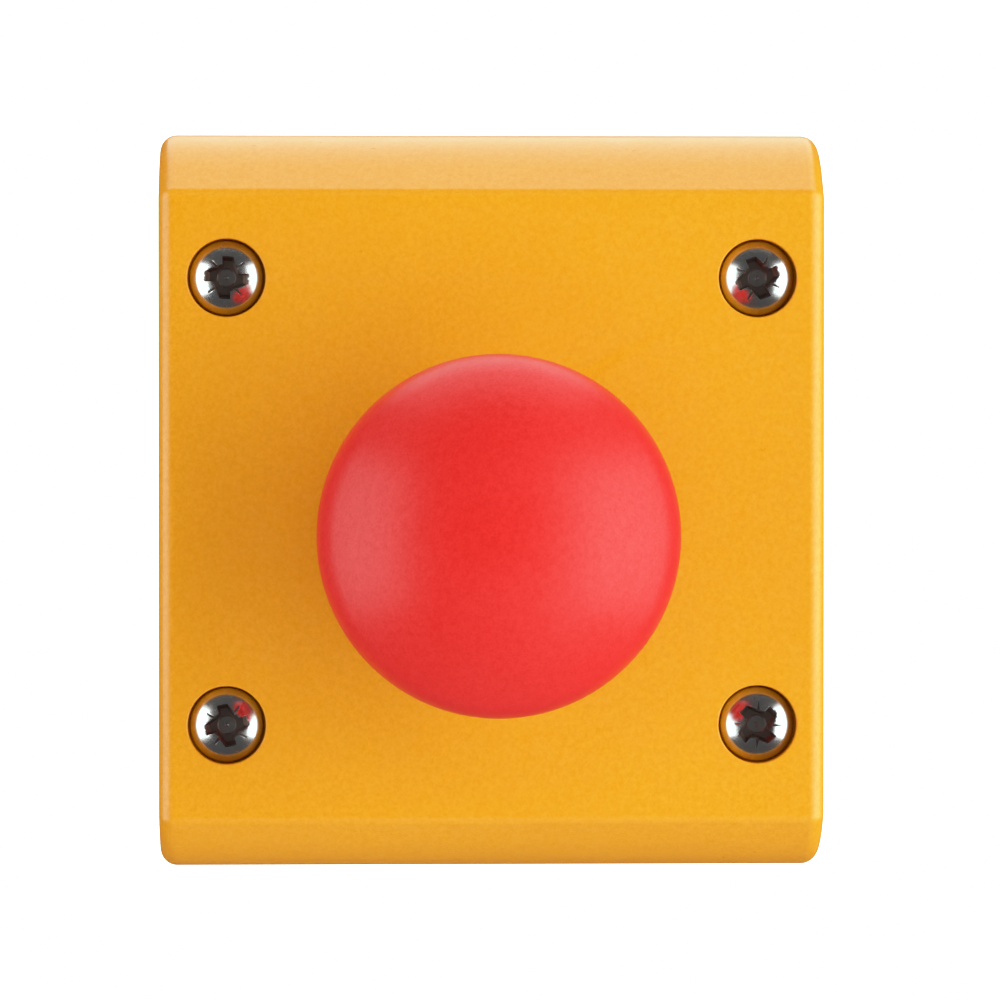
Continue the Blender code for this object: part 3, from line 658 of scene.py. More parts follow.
def place_group(net, name, **values):
    node = net.add("ShaderNodeGroup", node_tree=tree_of(name))
    for label, value in values.items():
        net.feed(node.inputs[label.replace("_", " ")], value)
    return node.outputs


def shaded(colour, factor):
    return tuple(min(1.0, channel * factor) for channel in colour[:3]) + (1.0,)


def add_relief(net, shader, height, depth):
    bump = net.add("ShaderNodeBump", {"Height": height, "Distance": depth, "Strength": 1.0})
    net.feed(shader.inputs["Normal"], bump.outputs[0])


def make_plastic(name, colour, roughness, grain_size, grain_depth, tone=0.04, worn=0.25, level=0.5):
    """Moulded plastic with its grain as relief, a drifting tone and lightly rubbed edges."""
    material, net, shader, vector = start_material(name)
    surface = place_group(net, "moulding", Vector=vector, Grain_Size=grain_size)
    wear = place_group(net, "wear", Vector=vector)["Mask"]
    speckled = net.mix(surface["Grain"], shaded(colour, 1.0 - tone), shaded(colour, 1.0 + tone))
    drift = net.math("MULTIPLY", surface["Drift"], 0.35)
    drifted = net.mix(drift, speckled, shaded(colour, 1.0 - 0.5 * tone))
    rubbed = tuple(channel + (1.0 - channel) * 0.12 for channel in colour[:3]) + (1.0,)
    net.feed(shader.inputs["Base Color"], net.mix(net.math("MULTIPLY", wear, worn), drifted, rubbed))
    rough = net.spread(surface["Marks"], 0.0, 1.0, roughness, roughness - 0.05)
    rough = net.math("ADD", rough, net.math("MULTIPLY", net.math("SUBTRACT", surface["Grain"], 0.5), 0.06))
    net.feed(shader.inputs["Roughness"], rough)
    gloss = net.spread(surface["Grain"], 0.0, 1.0, 0.75 * level, 1.25 * level)
    net.feed(shader.inputs["Specular IOR Level"], gloss)
    add_relief(net, shader, surface["Height"], grain_depth)
    return material


def make_metal(name, colour, roughness, tint, line_size, stretch, depth):
    """Metal whose clouds drift towards a second tint, with fine working lines."""
    material, net, shader, vector = start_material(name, metallic=1.0)
    surface = place_group(net, "metal", Vector=vector, Line_Size=line_size, Stretch=stretch)
    wear = place_group(net, "wear", Vector=vector)["Mask"]
    base = net.mix(surface["Clouds"], tuple(colour) + (1.0,), tuple(tint) + (1.0,))
    lit = net.mix(net.math("MULTIPLY", surface["Lines"], 0.25), base, shaded(colour, 1.12))
    net.feed(shader.inputs["Base Color"], net.mix(net.math("MULTIPLY", wear, 0.4), lit, shaded(colour, 1.2)))
    rough = net.spread(surface["Clouds"], 0.0, 1.0, roughness, roughness + 0.07)
    rough = net.math("ADD", rough, net.math("MULTIPLY", surface["Lines"], 0.05))
    net.feed(shader.inputs["Roughness"], rough)
    add_relief(net, shader, surface["Height"], depth)
    return material


MATERIALS = {}


def finish_of(slot):
    """The material of one of the record's slots, made when it is first asked for."""
    if slot in MATERIALS:
        return MATERIALS[slot]
    colours = bpy.context.scene.station_colours
    plastics = {
        "yellow_cover": ("Yellow cover", colours.cover, 0.34, 0.00023, 0.000015, 0.08, 0.15, 0.7),
        "red_plastic": ("Red mushroom", colours.mushroom, 0.40, 0.00025, 0.000016, 0.09, 0.0, 0.46),
        "dark_base": ("Dark base", colours.base, 0.5, 0.00030, 0.000020, 0.10, 0.35),
        "black_plastic": ("Black plastic", colours.operator, 0.38, 0.00035, 0.000008, 0.10, 0.3),
        "contact_plastic": ("Contact plastic", colours.contacts, 0.45, 0.00025, 0.00001, 0.08),
        "white_plastic": ("White plastic", colours.stem, 0.33, 0.0005, 0.000006, 0.03, 0.1),
        "rubber": ("Rubber", colours.rubber, 0.72, 0.00018, 0.00002, 0.15, 0.3, 0.3),
    }
    metals = {
        "zinc": ("Zinc plate", colours.zinc, 0.16, (0.62, 0.60, 0.55), 0.00010, 1.0, 0.000003),
        "spring_steel": ("Spring wire", colours.spring, 0.26, (0.42, 0.42, 0.44), 0.00008, 1.0, 0.000003),
        "brass": ("Brass", colours.brass, 0.27, (0.62, 0.42, 0.17), 0.00012, 6.0, 0.000004),
    }
    if slot in plastics:
        MATERIALS[slot] = make_plastic(*plastics[slot])
    else:
        MATERIALS[slot] = make_metal(*metals[slot])
    return MATERIALS[slot]


# Sizes, colours and studio values ------------------------------------------------------------------


def length(label, description, default):
    return bpy.props.FloatProperty(name=label, description=description, default=default, min=0.0, precision=5,
                                   unit="LENGTH")


def strength(name, description, default):
    return bpy.props.FloatProperty(name=name, description=description, default=default, min=0.0)


def colour(label, description, default):
    return bpy.props.FloatVectorProperty(name=label, description=description, default=default, size=3,
                                         min=0.0, max=1.0, subtype="COLOR")


class StationSizes(bpy.types.PropertyGroup):
    """Sizes of the details that the frame doesn't hold."""

    face_top: length("Face top", "Height of the upper crease above the middle", 0.0334)
    face_bottom: length("Face bottom", "Depth of the lower crease below the middle", 0.03455)
    band_radius: length("Band radius", "Radius on which each sloping band rolls into the wall", 0.0133)
    crease_radius: length("Crease radius", "Rounding where the face meets a sloping band", 0.0013)
    edge_radius: length("Edge radius", "Rounding of the cover's and base's side edges", 0.0018)
    wall: length("Wall", "Wall thickness of the cover and the base", 0.0028)
    well_radius: length("Well radius", "Radius of the screw wells", 0.0042)
    well_lip: length("Well lip", "Rounding of each well's mouth", 0.00022)
    screw_radius: length("Screw radius", "Outer radius of the cover screws' thread", 0.002)
    crown_radius: length("Crown radius", "Radius of the screw heads' domed top", 0.0052)
    recess_span: length("Recess span", "Width across two opposite wings of the cross recess", 0.0049)
    recess_depth: length("Recess depth", "Depth of the cross recess", 0.0021)
    screw_pitch: length("Screw pitch", "Thread pitch of the cover screws", 0.0007)
    barrel_pitch: length("Barrel pitch", "Thread pitch of the operator's barrel", 0.001)
    dome_radius: length("Dome radius", "Radius of the mushroom's dome", 0.0234)
    shoulder_radius: length("Shoulder radius", "Radius between the mushroom's dome and its rim", 0.007)
    rim_radius: length("Rim radius", "Radius that rolls the mushroom's rim under", 0.0022)
    head_widest: length("Widest line", "Distance of the mushroom's widest line from the cover's face", 0.0207)


class StationColours(bpy.types.PropertyGroup):
    """Base colours of the plastics, rubber and metals."""

    cover: colour("Cover", "Yellow of the front cover", (0.88, 0.325, 0.001))
    mushroom: colour("Mushroom", "Red of the mushroom and the contact plungers", (0.80, 0.018, 0.0135))
    base: colour("Base", "Dark grey of the base box", (0.035, 0.036, 0.038))
    operator: colour("Operator", "Black of the collar, barrel and nut", (0.016, 0.016, 0.017))
    contacts: colour("Contacts", "Grey-black of the contact blocks and their adapter", (0.06, 0.062, 0.066))
    stem: colour("Stem", "Off-white of the stem", (0.74, 0.73, 0.69))
    rubber: colour("Rubber", "Black of the seals", (0.012, 0.012, 0.012))
    zinc: colour("Zinc", "Bright zinc plate of the screws", (0.72, 0.72, 0.72))
    spring: colour("Spring", "Drawn spring wire", (0.58, 0.58, 0.60))
    brass: colour("Brass", "Brass of the inserts, bridges and terminals", (0.80, 0.60, 0.28))


class StationStudio(bpy.types.PropertyGroup):
    """Camera and light of the picture."""

    distance: length("Camera distance", "From the aim point on the cover's face to the camera", 0.6)
    focal: bpy.props.FloatProperty(name="Focal length", description="In millimetres on a 36 mm wide film",
                                   default=200.3, min=10.0)
    azimuth: bpy.props.FloatProperty(name="Azimuth", description="Turn of the camera about the vertical",
                                     default=math.radians(-1.95), subtype="ANGLE")
    elevation: bpy.props.FloatProperty(name="Elevation", description="Height angle of the camera",
                                       default=math.radians(0.9), subtype="ANGLE")
    aim_x: length("Aim right", "Aim point right of the cover's middle", 0.00081)
    aim_z: length("Aim up", "Aim point above the cover's middle", 0.00016)
    top_power: strength("Top softbox", "Power in watts of the softbox overhead", 5.4)
    left_power: strength("Left softbox", "Power in watts of the softbox on the left", 2.8)
    right_power: strength("Right softbox", "Power in watts of the softbox on the right", 2.7)
    side_power: strength("Side light", "Power in watts of the tall light at the front right", 12.5)
    front_power: strength("Front lights", "Power in watts of the pair above and below the camera", 3.6)
    room: strength("Room light", "Brightness of the pale room", 0.10)
    reflected_room: strength("Reflected room", "Brightness of the room in reflections", 0.08)


# Front cover ---------------------------------------------------------------------------------------


def sizes():
    return bpy.context.scene.station_sizes


def band_section(offset, rear_y, face_edge, arc_steps=16, crease_steps=6):
    """Outline of the cover from its rear to one crease of the face as (y, z), moved inwards by the offset."""
    half = (COVER_HIGH.z - COVER_LOW.z) / 2
    slope = math.radians(45.0)
    centre_z = half - sizes().band_radius
    rise = (face_edge - centre_z) * math.sin(slope)
    centre_depth = (sizes().band_radius - rise) / math.cos(slope)
    radius = sizes().band_radius - offset
    outline = [(rear_y, half - offset)]
    for step in range(arc_steps + 1):
        angle = (math.pi / 2 - slope) * step / arc_steps
        y = FACE_Y + centre_depth - radius * math.sin(angle)
        outline.append((y, centre_z + radius * math.cos(angle)))
    bend = max(sizes().crease_radius - offset, 0.00004)
    inward = offset + bend
    crease = (sizes().band_radius - inward - (centre_depth - inward) * math.cos(slope)) / math.sin(slope)
    for step in range(crease_steps + 1):
        angle = slope * (1 - step / crease_steps)
        y = FACE_Y + inward - bend * math.cos(angle)
        outline.append((y, centre_z + crease + bend * math.sin(angle)))
    return outline


def cover_section(offset, rear_y):
    """Side outline of the cover as (y, z) points, over the top band, the face and the bottom band."""
    lower = band_section(offset, rear_y, sizes().face_bottom)
    return band_section(offset, rear_y, sizes().face_top) + [(y, -z) for y, z in reversed(lower)]


def cover_shape(offset, rear_y, edge_radius, edge_steps):
    """The cover's outside, or its hollow, with its side edges rounded."""
    half = (COVER_HIGH.x - COVER_LOW.x) / 2 - offset
    stations = []
    for step in range(edge_steps + 1):
        angle = 0.5 * math.pi * step / edge_steps
        x = half - edge_radius * (1 - math.sin(angle))
        stations.append((x, offset + edge_radius * (1 - math.cos(angle))))
    loops = [[(-x, y, z) for y, z in cover_section(inward, rear_y)] for x, inward in reversed(stations)]
    loops += [[(x, y, z) for y, z in cover_section(inward, rear_y)] for x, inward in stations]
    return stacked(loops)


def round_edges(bm, chosen, radius, segments=3):
    """Bevel the sharp edges that pass the test."""
    bmesh.ops.recalc_face_normals(bm, faces=bm.faces)
    edges = []
    for edge in bm.edges:
        sharp = len(edge.link_faces) == 2 and edge.calc_face_angle(0.0) > math.radians(50.0)
        if sharp and chosen(edge):
            edges.append(edge)
    bmesh.ops.bevel(bm, geom=edges, offset=radius, offset_type="OFFSET", segments=segments, profile=0.5,
                    affect="EDGES")
    return bm


def lies_at(y):
    return lambda edge: all(abs(vert.co.y - y) < 1e-6 for vert in edge.verts)


def screw_seat_y():
    """Where the underside of each cover screw's head rests."""
    head_height = 0.00265
    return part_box("cover_screw_top_left")[0].y + head_height


def row_of(bm, count, step):
    """The shape repeated in a row by geometry nodes, as one bmesh."""
    bmesh.ops.recalc_face_normals(bm, faces=bm.faces)
    obj = link_mesh("row", bm)
    set_tree(obj, tree_of("row"), {"Count": count, "Step": step})
    bake_modifiers(obj)
    result = bmesh.new()
    result.from_mesh(obj.data)
    bpy.data.objects.remove(obj, do_unlink=True)
    return result


class STATION_OT_cover(bpy.types.Operator):
    """Build the yellow front cover with its sloping bands, screw wells and inner columns."""

    bl_idname = "station.cover"
    bl_label = "Front Cover"

    def execute(self, context):
        wall = sizes().wall
        lip = sizes().well_lip
        outside = cover_shape(0.0, SPLIT_Y, sizes().edge_radius, 10)
        round_edges(outside, lies_at(SPLIT_Y), 0.0003)
        cover = Piece("yellow_cover", outside, "yellow_cover")
        cover.cut(cover_shape(wall, SPLIT_Y + wall, 0.0009, 3))
        inner_y = FACE_Y + wall
        seat_y = screw_seat_y() + 0.0003
        recess_y = SPLIT_Y - 0.0018
        column = rod(0.0062, inner_y - wall / 2, SPLIT_Y - 0.0001)
        for at in corner_places():
            cover.add(turned(soften(column, 0.0004, 2, closed=False), 64), at)
        pad = rod(0.0170, inner_y - wall / 2, inner_y + 0.0004)
        cover.add(turned(pad, 72), AXIS)
        self.add_ribs(cover, inner_y)
        well_radius = sizes().well_radius
        shank = sizes().screw_radius + 0.0004
        mouth = [(0.0, FACE_Y - wall), (well_radius + lip, FACE_Y - wall)]
        for step in range(5):
            angle = 0.5 * math.pi * step / 4
            y = FACE_Y - 0.00001 + lip * (1 - math.cos(angle))
            mouth.append((well_radius + lip * (1 - math.sin(angle)), y))
        rear_radius = 0.0044
        well = mouth + [(well_radius, seat_y - 0.0002), (well_radius - 0.0002, seat_y), (shank, seat_y),
                        (shank, recess_y), (rear_radius, recess_y), (rear_radius, SPLIT_Y + wall),
                        (0.0, SPLIT_Y + wall)]
        for at in corner_places():
            cover.cut(turned(well, 80), at)
        hole_radius = 0.01125
        flare = hole_radius + 0.0005
        hole = [(0.0, FACE_Y - wall), (flare, FACE_Y - wall), (flare, FACE_Y - 0.00001),
                (hole_radius, FACE_Y + 0.0005), (hole_radius, inner_y + wall), (0.0, inner_y + wall)]
        cover.cut(turned(hole, 96), AXIS)
        key = block((-0.0012, 0.0012), (FACE_Y - wall, inner_y + wall), (0.0105, 0.0122))
        cover.cut(key, AXIS)
        cover.finish("cover", "front_cover", sharp=30.0)
        return {"FINISHED"}

    def add_ribs(self, cover, inner_y):
        """Low stiffening ribs inside the face, above and below the push-button."""
        rib_y = (inner_y - 0.0006, inner_y + 0.0012)
        for low_z, high_z in ((0.0185, 0.0325), (-0.0325, -0.0235)):
            rib = block((-0.0165, -0.0155), rib_y, (low_z, high_z))
            cover.add(row_of(rib, 5, (0.008, 0.0, 0.0)))


# Base box ------------------------------------------------------------------------------------------


def rounded_rectangle(half_x, half_z, radius, steps=8):
    points = []
    for sign_x, sign_z, start in ((1, 1, 0.0), (-1, 1, 0.5), (-1, -1, 1.0), (1, -1, 1.5)):
        for step in range(steps + 1):
            angle = math.pi * (start + 0.5 * step / steps)
            x = sign_x * (half_x - radius) + radius * math.cos(angle)
            points.append((x, sign_z * (half_z - radius) + radius * math.sin(angle)))
    return points


def rectangular_ring(outer_inset, inner_inset, y_range, radius):
    """Ring that follows the box's outline, between two insets from its outside."""
    half_x, half_z = half_size("base_box")
    outer = rounded_rectangle(half_x - outer_inset, half_z - outer_inset, radius)
    inner = rounded_rectangle(half_x - inner_inset, half_z - inner_inset, radius / 2)
    loops = []
    for outline, y in ((outer, y_range[0]), (outer, y_range[1]), (inner, y_range[1]), (inner, y_range[0])):
        loops.append([(x, y, z) for x, z in outline])
    return stacked(loops, closed_ring=True)


class STATION_OT_base(bpy.types.Operator):
    """Build the dark base box with its pillars, fixing holes, knock-outs and seal groove."""

    bl_idname = "station.base"
    bl_label = "Base Box"
    fixing = (0.020, 0.030)  # the fixing holes, from the middle: across and up

    def execute(self, context):
        wall = sizes().wall
        half_x, half_z = half_size("base_box")
        back_y = BASE_HIGH.y
        floor_y = back_y - 0.003
        shell = prism(rounded_rectangle(half_x, half_z, sizes().edge_radius, 10), (RIM_Y, back_y))
        round_edges(shell, lies_at(back_y), 0.0007, 4)
        round_edges(shell, lies_at(RIM_Y), 0.0003)
        base = Piece("dark_base_box", shell, "dark_base")
        hollow = prism(rounded_rectangle(half_x - wall, half_z - wall, 0.0012, 5), (RIM_Y - wall, floor_y))
        round_edges(hollow, lies_at(floor_y), 0.001, 3)
        base.cut(hollow)
        pillar = soften(rod(0.0056, floor_y + 0.001, RIM_Y + 0.0003), 0.0004, 2, closed=False)
        for at in corner_places():
            base.add(turned(pillar, 56), at)
        self.add_floor(base, floor_y)
        pocket_radius = reach("insert_top_left") + 0.00012
        pocket = rod(pocket_radius, RIM_Y - wall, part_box("insert_top_left")[1].y + 0.0012)
        for at in corner_places():
            base.cut(turned(pocket, 48), at)
        head, shank, mouth = 0.0044, 0.0023, 0.0026
        hole = [(0.0, floor_y - 0.004), (head, floor_y - 0.004), (head, floor_y - 0.0002),
                (shank, floor_y + 0.0008), (shank, back_y - 0.0003), (mouth, back_y + 0.00001),
                (mouth, back_y + 0.003), (0.0, back_y + 0.003)]
        for at in four_places(*self.fixing):
            base.cut(turned(hole, 40), at)
        self.cut_knockouts(base, half_z)
        groove_y = (RIM_Y - 0.001, RIM_Y + 0.00105)
        base.cut(rectangular_ring(wall / 2 - 0.00065, wall / 2 + 0.00065, groove_y, sizes().edge_radius))
        base.cut(self.ejector_marks(back_y))
        base.finish("enclosure", "base_box")
        return {"FINISHED"}

    def add_floor(self, base, floor_y):
        """Ribs on the floor and raised bosses round the fixing holes."""
        rib_y = (floor_y - 0.0009, floor_y + 0.0006)
        rib = block((-0.0205, -0.0195), rib_y, (-0.0235, 0.0235))
        base.add(row_of(rib, 6, (0.008, 0.0, 0.0)))
        boss = soften([(0.0, floor_y + 0.0006), (0.0062, floor_y + 0.0006), (0.0056, floor_y - 0.0022),
                       (0.0, floor_y - 0.0022)], 0.0003, 2, closed=False)
        for at in four_places(*self.fixing):
            base.add(turned(boss, 40), at)

    def cut_knockouts(self, base, half_z):
        """Ring grooves that leave a thin disc to break out in the top and bottom walls."""
        for sign_z in (1, -1):
            ring = turned(tube(0.0098, 0.0104, -0.0016, 0.0016), 96)
            base.cut(spun(ring, math.pi / 2, "X"), (0.0, -0.014, sign_z * half_z))

    def ejector_marks(self, back_y):
        """Shallow round marks that the mould's ejector pins leave on the back."""
        marks = []
        for at in four_places(0.026, 0.016):
            mark = turned(rod(0.0022, back_y - 0.00008, back_y + PAST), 32)
            bmesh.ops.translate(mark, verts=mark.verts, vec=at)
            marks.append(mark)
        return merge_parts(*marks)


class STATION_OT_seal(bpy.types.Operator):
    """Build the ring seal of the cover and the four brass inserts."""

    bl_idname = "station.seal"
    bl_label = "Seal and Inserts"

    def execute(self, context):
        wall = sizes().wall
        low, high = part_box("cover_seal")
        ring = rectangular_ring(wall / 2 - 0.0005, wall / 2 + 0.0005, (low.y, high.y), sizes().edge_radius)
        seal = Piece("cover_ring_seal", round_edges(ring, lies_at(low.y), 0.0003, 3), "rubber")
        seal.finish("enclosure", "cover_seal")
        low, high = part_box("insert_top_left")
        radius = reach("insert_top_left")
        bore = sizes().screw_radius + 0.00012
        profile = refine(soften(tube(bore, radius, low.y, high.y), 0.00035, 2), 0.0004)
        blank = Piece("insert_blank", turned(profile, 72), "brass")
        plain_end = 0.0012
        blank.run_tree("knurl", Ridges=24.0, Depth=0.00018, Start=low.y + plain_end, End=high.y - plain_end,
                       Core_Radius=radius - 0.0004)
        place_copies("brass_inserts", blank, [0.0] * 4, "enclosure", "insert")
        return {"FINISHED"}


def refine(profile, step):
    """Add points along a turned profile's long axial runs, so that it can take a thread or knurl."""
    result = []
    for i, point in enumerate(profile):
        after = profile[(i + 1) % len(profile)]
        result.append(point)
        run = math.hypot(after[0] - point[0], after[1] - point[1])
        count = int(run / step)
        if abs(after[0] - point[0]) > 1e-6:
            continue
        for k in range(1, count):
            share = k / count
            radius = point[0] + (after[0] - point[0]) * share
            result.append((radius, point[1] + (after[1] - point[1]) * share))
    return result


def place_copies(name, blank, turns, body, node):
    """Put a copy of the blank at each corner screw's place, as one piece for the four nodes."""
    blank.bake()
    places = bmesh.new()
    layer = places.verts.layers.float.new("turn")
    for at, turn in zip(corner_places(), turns):
        places.verts.new(at)[layer] = turn
    obj = link_mesh(name, places)
    set_tree(obj, tree_of("places"), {"Shape": blank.object, "Material": blank.material})
    bake_modifiers(obj)
    bpy.data.objects.remove(blank.object, do_unlink=True)
    settle(obj, body, [f"{node}_{corner}" for corner in CORNERS], 32.0)


# Cover screws --------------------------------------------------------------------------------------


def crown_profile(top_y, seat_y):
    """Half section of a pan head: domed crown, round shoulder and short straight side."""
    head = 0.004
    crown = sizes().crown_radius
    shoulder = 0.0009
    meet = math.asin((head - shoulder) / (crown - shoulder))
    profile = []
    for step in range(15):
        angle = meet * step / 14
        profile.append((crown * math.sin(angle), top_y + crown * (1 - math.cos(angle))))
    centre_y = top_y + crown - (crown - shoulder) * math.cos(meet)
    for step in range(1, 7):
        angle = meet + (math.pi / 2 - meet) * step / 6
        profile.append((head - shoulder + shoulder * math.sin(angle), centre_y - shoulder * math.cos(angle)))
    profile.append((head, seat_y - 0.0001))
    profile.append((head - 0.0001, seat_y))
    return profile


def recess_tools(top_y):
    """Cutters of a cross recess: flared wings, round middle and the four fine ticks between."""
    tip = sizes().recess_span / 2
    depth = sizes().recess_depth
    above = top_y - 0.0005
    quarter = [(tip, -0.00062), (tip, 0.00062), (0.0015, 0.00052), (0.00116, 0.00116)]
    wings = []
    for turn in range(4):
        wings += spin_points(quarter, turn * math.pi / 2)
    loops = []
    for y, scale in ((above, 1.03), (top_y + 0.0002, 1.0), (top_y + 0.82 * depth, 0.74)):
        loops.append([(x * scale, y, z * scale) for x, z in wings])
    middle = [(0.0, above), (0.00125, above), (0.00102, top_y + depth - 0.0001), (0.0009, top_y + depth),
              (0.00022, top_y + depth + 0.00006), (0.0, top_y + depth + 0.00028)]
    tick = [(0.00125, -0.0002), (0.0025, -0.00004), (0.0025, 0.00004), (0.00125, 0.0002)]
    ticks = []
    for turn in range(4):
        outline = spin_points(tick, (turn + 0.5) * math.pi / 2)
        ticks.append(prism(outline, (above, top_y + 0.00082)))
    return stacked(loops), turned(middle, 40), merge_parts(*ticks)


def paint_recess_shade(material, top_y):
    """Painted shade inside the cross recesses, below the domed crown of each screw: a dull brown tone mixed
    over the zinc where shade falls.
    """
    net = Net(material.node_tree)
    shader = material.node_tree.nodes["Principled BSDF"]
    place = net.add("ShaderNodeTexCoord").outputs["Object"]
    parts = net.add("ShaderNodeSeparateXYZ", {0: place}).outputs
    axis = corner_places()[0]
    along = net.math("SUBTRACT", net.math("ABSOLUTE", parts[0]), abs(axis.x))
    across = net.math("SUBTRACT", net.math("ABSOLUTE", parts[2]), abs(axis.z))
    square = net.math("ADD", net.math("MULTIPLY", along, along), net.math("MULTIPLY", across, across))
    crown = net.math("ADD", net.math("DIVIDE", square, 2 * sizes().crown_radius), top_y)
    sunk = net.spread(net.math("SUBTRACT", parts[1], crown), 0.00005, 0.0005)
    within = net.spread(square, 0.0027 ** 2, 0.0026 ** 2)
    wings = net.spread(square, 0.0008 ** 2, 0.0011 ** 2, 0.35, 1.0)
    # painted shade: deep in the recess, within the head, strongest along the wings
    recess_shade = net.math("MULTIPLY", net.math("MULTIPLY", sunk, within), wings)
    bright = shader.inputs["Base Color"].links[0].from_socket
    # the painted shade mixes a dull brown over the zinc's own colour and roughens it
    net.feed(shader.inputs["Base Color"], net.mix(recess_shade, bright, (0.36, 0.28, 0.24, 1.0)))
    smooth = shader.inputs["Roughness"].links[0].from_socket
    net.feed(shader.inputs["Roughness"], net.spread(recess_shade, 0.0, 1.0, smooth, 0.42))


class STATION_OT_screws(bpy.types.Operator):
    """Build the four captive cover screws with their cross recesses and threads, and their washers."""

    bl_idname = "station.screws"
    bl_label = "Cover Screws"

    def execute(self, context):
        low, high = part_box("cover_screw_top_left")
        top_y, tip_y = low.y, high.y
        seat_y = screw_seat_y()
        radius = sizes().screw_radius
        waist = 0.0016
        washer_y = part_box("screw_washer_top_left")[1].y
        thread_y = washer_y + 0.0004
        profile = crown_profile(top_y, seat_y)
        profile += [(radius - 0.0001, seat_y), (radius, seat_y + 0.0001), (radius, seat_y + 0.004),
                    (waist, seat_y + 0.0046), (waist, thread_y - 0.0004)]
        thread_length = tip_y - 0.0007 - thread_y
        rows = int(thread_length / (sizes().screw_pitch / 7))
        for row in range(rows + 1):
            profile.append((radius, thread_y + thread_length * row / rows))
        profile += [(0.0013, tip_y), (0.0, tip_y)]
        blank = Piece("screw_blank", turned(profile, 64), "zinc")
        blank.run_tree("thread", Pitch=sizes().screw_pitch, Depth=0.00042, Start=thread_y, End=tip_y,
                       Run_Out=0.0007, Core_Radius=0.0018)
        for tool in recess_tools(top_y):
            blank.cut(tool)
        blank.bevel(0.00005, 2, 40.0)
        # painted shade in the screws' recesses, added to the shared zinc material
        paint_recess_shade(finish_of("zinc"), top_y)
        turns = [math.radians(angle) for angle in (4.0, -21.0, -13.0, -43.0)]
        place_copies("cover_screws", blank, turns, "cover", "cover_screw")
        low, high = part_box("screw_washer_top_left")
        ring = tube(waist + 0.00015, 0.004, low.y, high.y)
        washer = Piece("washer_blank", turned(soften(ring, 0.00015, 2), 56), "black_plastic")
        washer.cut(block((-0.0003, 0.0003), (low.y - PAST, high.y + PAST), (0.0, 0.005)))
        place_copies("screw_washers", washer, [0.0] * 4, "cover", "screw_washer")
        return {"FINISHED"}


# Push-button ---------------------------------------------------------------------------------------


def mushroom_profile():
    """Section of the mushroom as (radius, distance in front of the cover's face)."""
    radius = reach("mushroom_head")
    dome = sizes().dome_radius
    shoulder = sizes().shoulder_radius
    rim = sizes().rim_radius
    widest = sizes().head_widest
    meet = math.asin((radius - shoulder) / (dome - shoulder))
    profile = arc((0.0, widest - (dome - shoulder) * math.cos(meet)), dome, 0.0, meet, 26)
    profile += arc((radius - shoulder, widest), shoulder, meet, math.pi / 2, 16)[1:]
    profile += arc((radius - rim, widest), rim, math.pi / 2, math.pi, 12)[1:]
    return profile


class STATION_OT_mushroom(bpy.types.Operator):
    """Build the red mushroom head with its hollow skirt."""

    bl_idname = "station.mushroom"
    bl_label = "Mushroom Head"

    def execute(self, context):
        outer = mushroom_profile()
        under = outer[-1][1]
        hub_end = FACE_Y - HEAD_HIGH.y
        skirt_end = 0.0118
        skirt, hub, bore, socket = 0.0122, 0.0086, 0.0072, 0.00295
        bore_end, socket_end = 0.020, 0.0272
        inside = [outer[-1], (0.0130, under - 0.0009), (skirt, under - 0.0022), (skirt, skirt_end),
                  (hub, skirt_end), (hub, hub_end), (bore, hub_end), (bore, bore_end), (socket, bore_end),
                  (socket, socket_end), (0.0, socket_end)]
        profile = [(0.0, outer[0][1])] + outer[1:] + soften(inside, 0.0004, 3, closed=False)[1:]
        shape = turned([(radius, FACE_Y - distance) for radius, distance in profile], 160)
        head = Piece("red_mushroom_head", shape, "red_plastic", AXIS)
        head.finish("button", "mushroom_head", sharp=50.0)
        return {"FINISHED"}


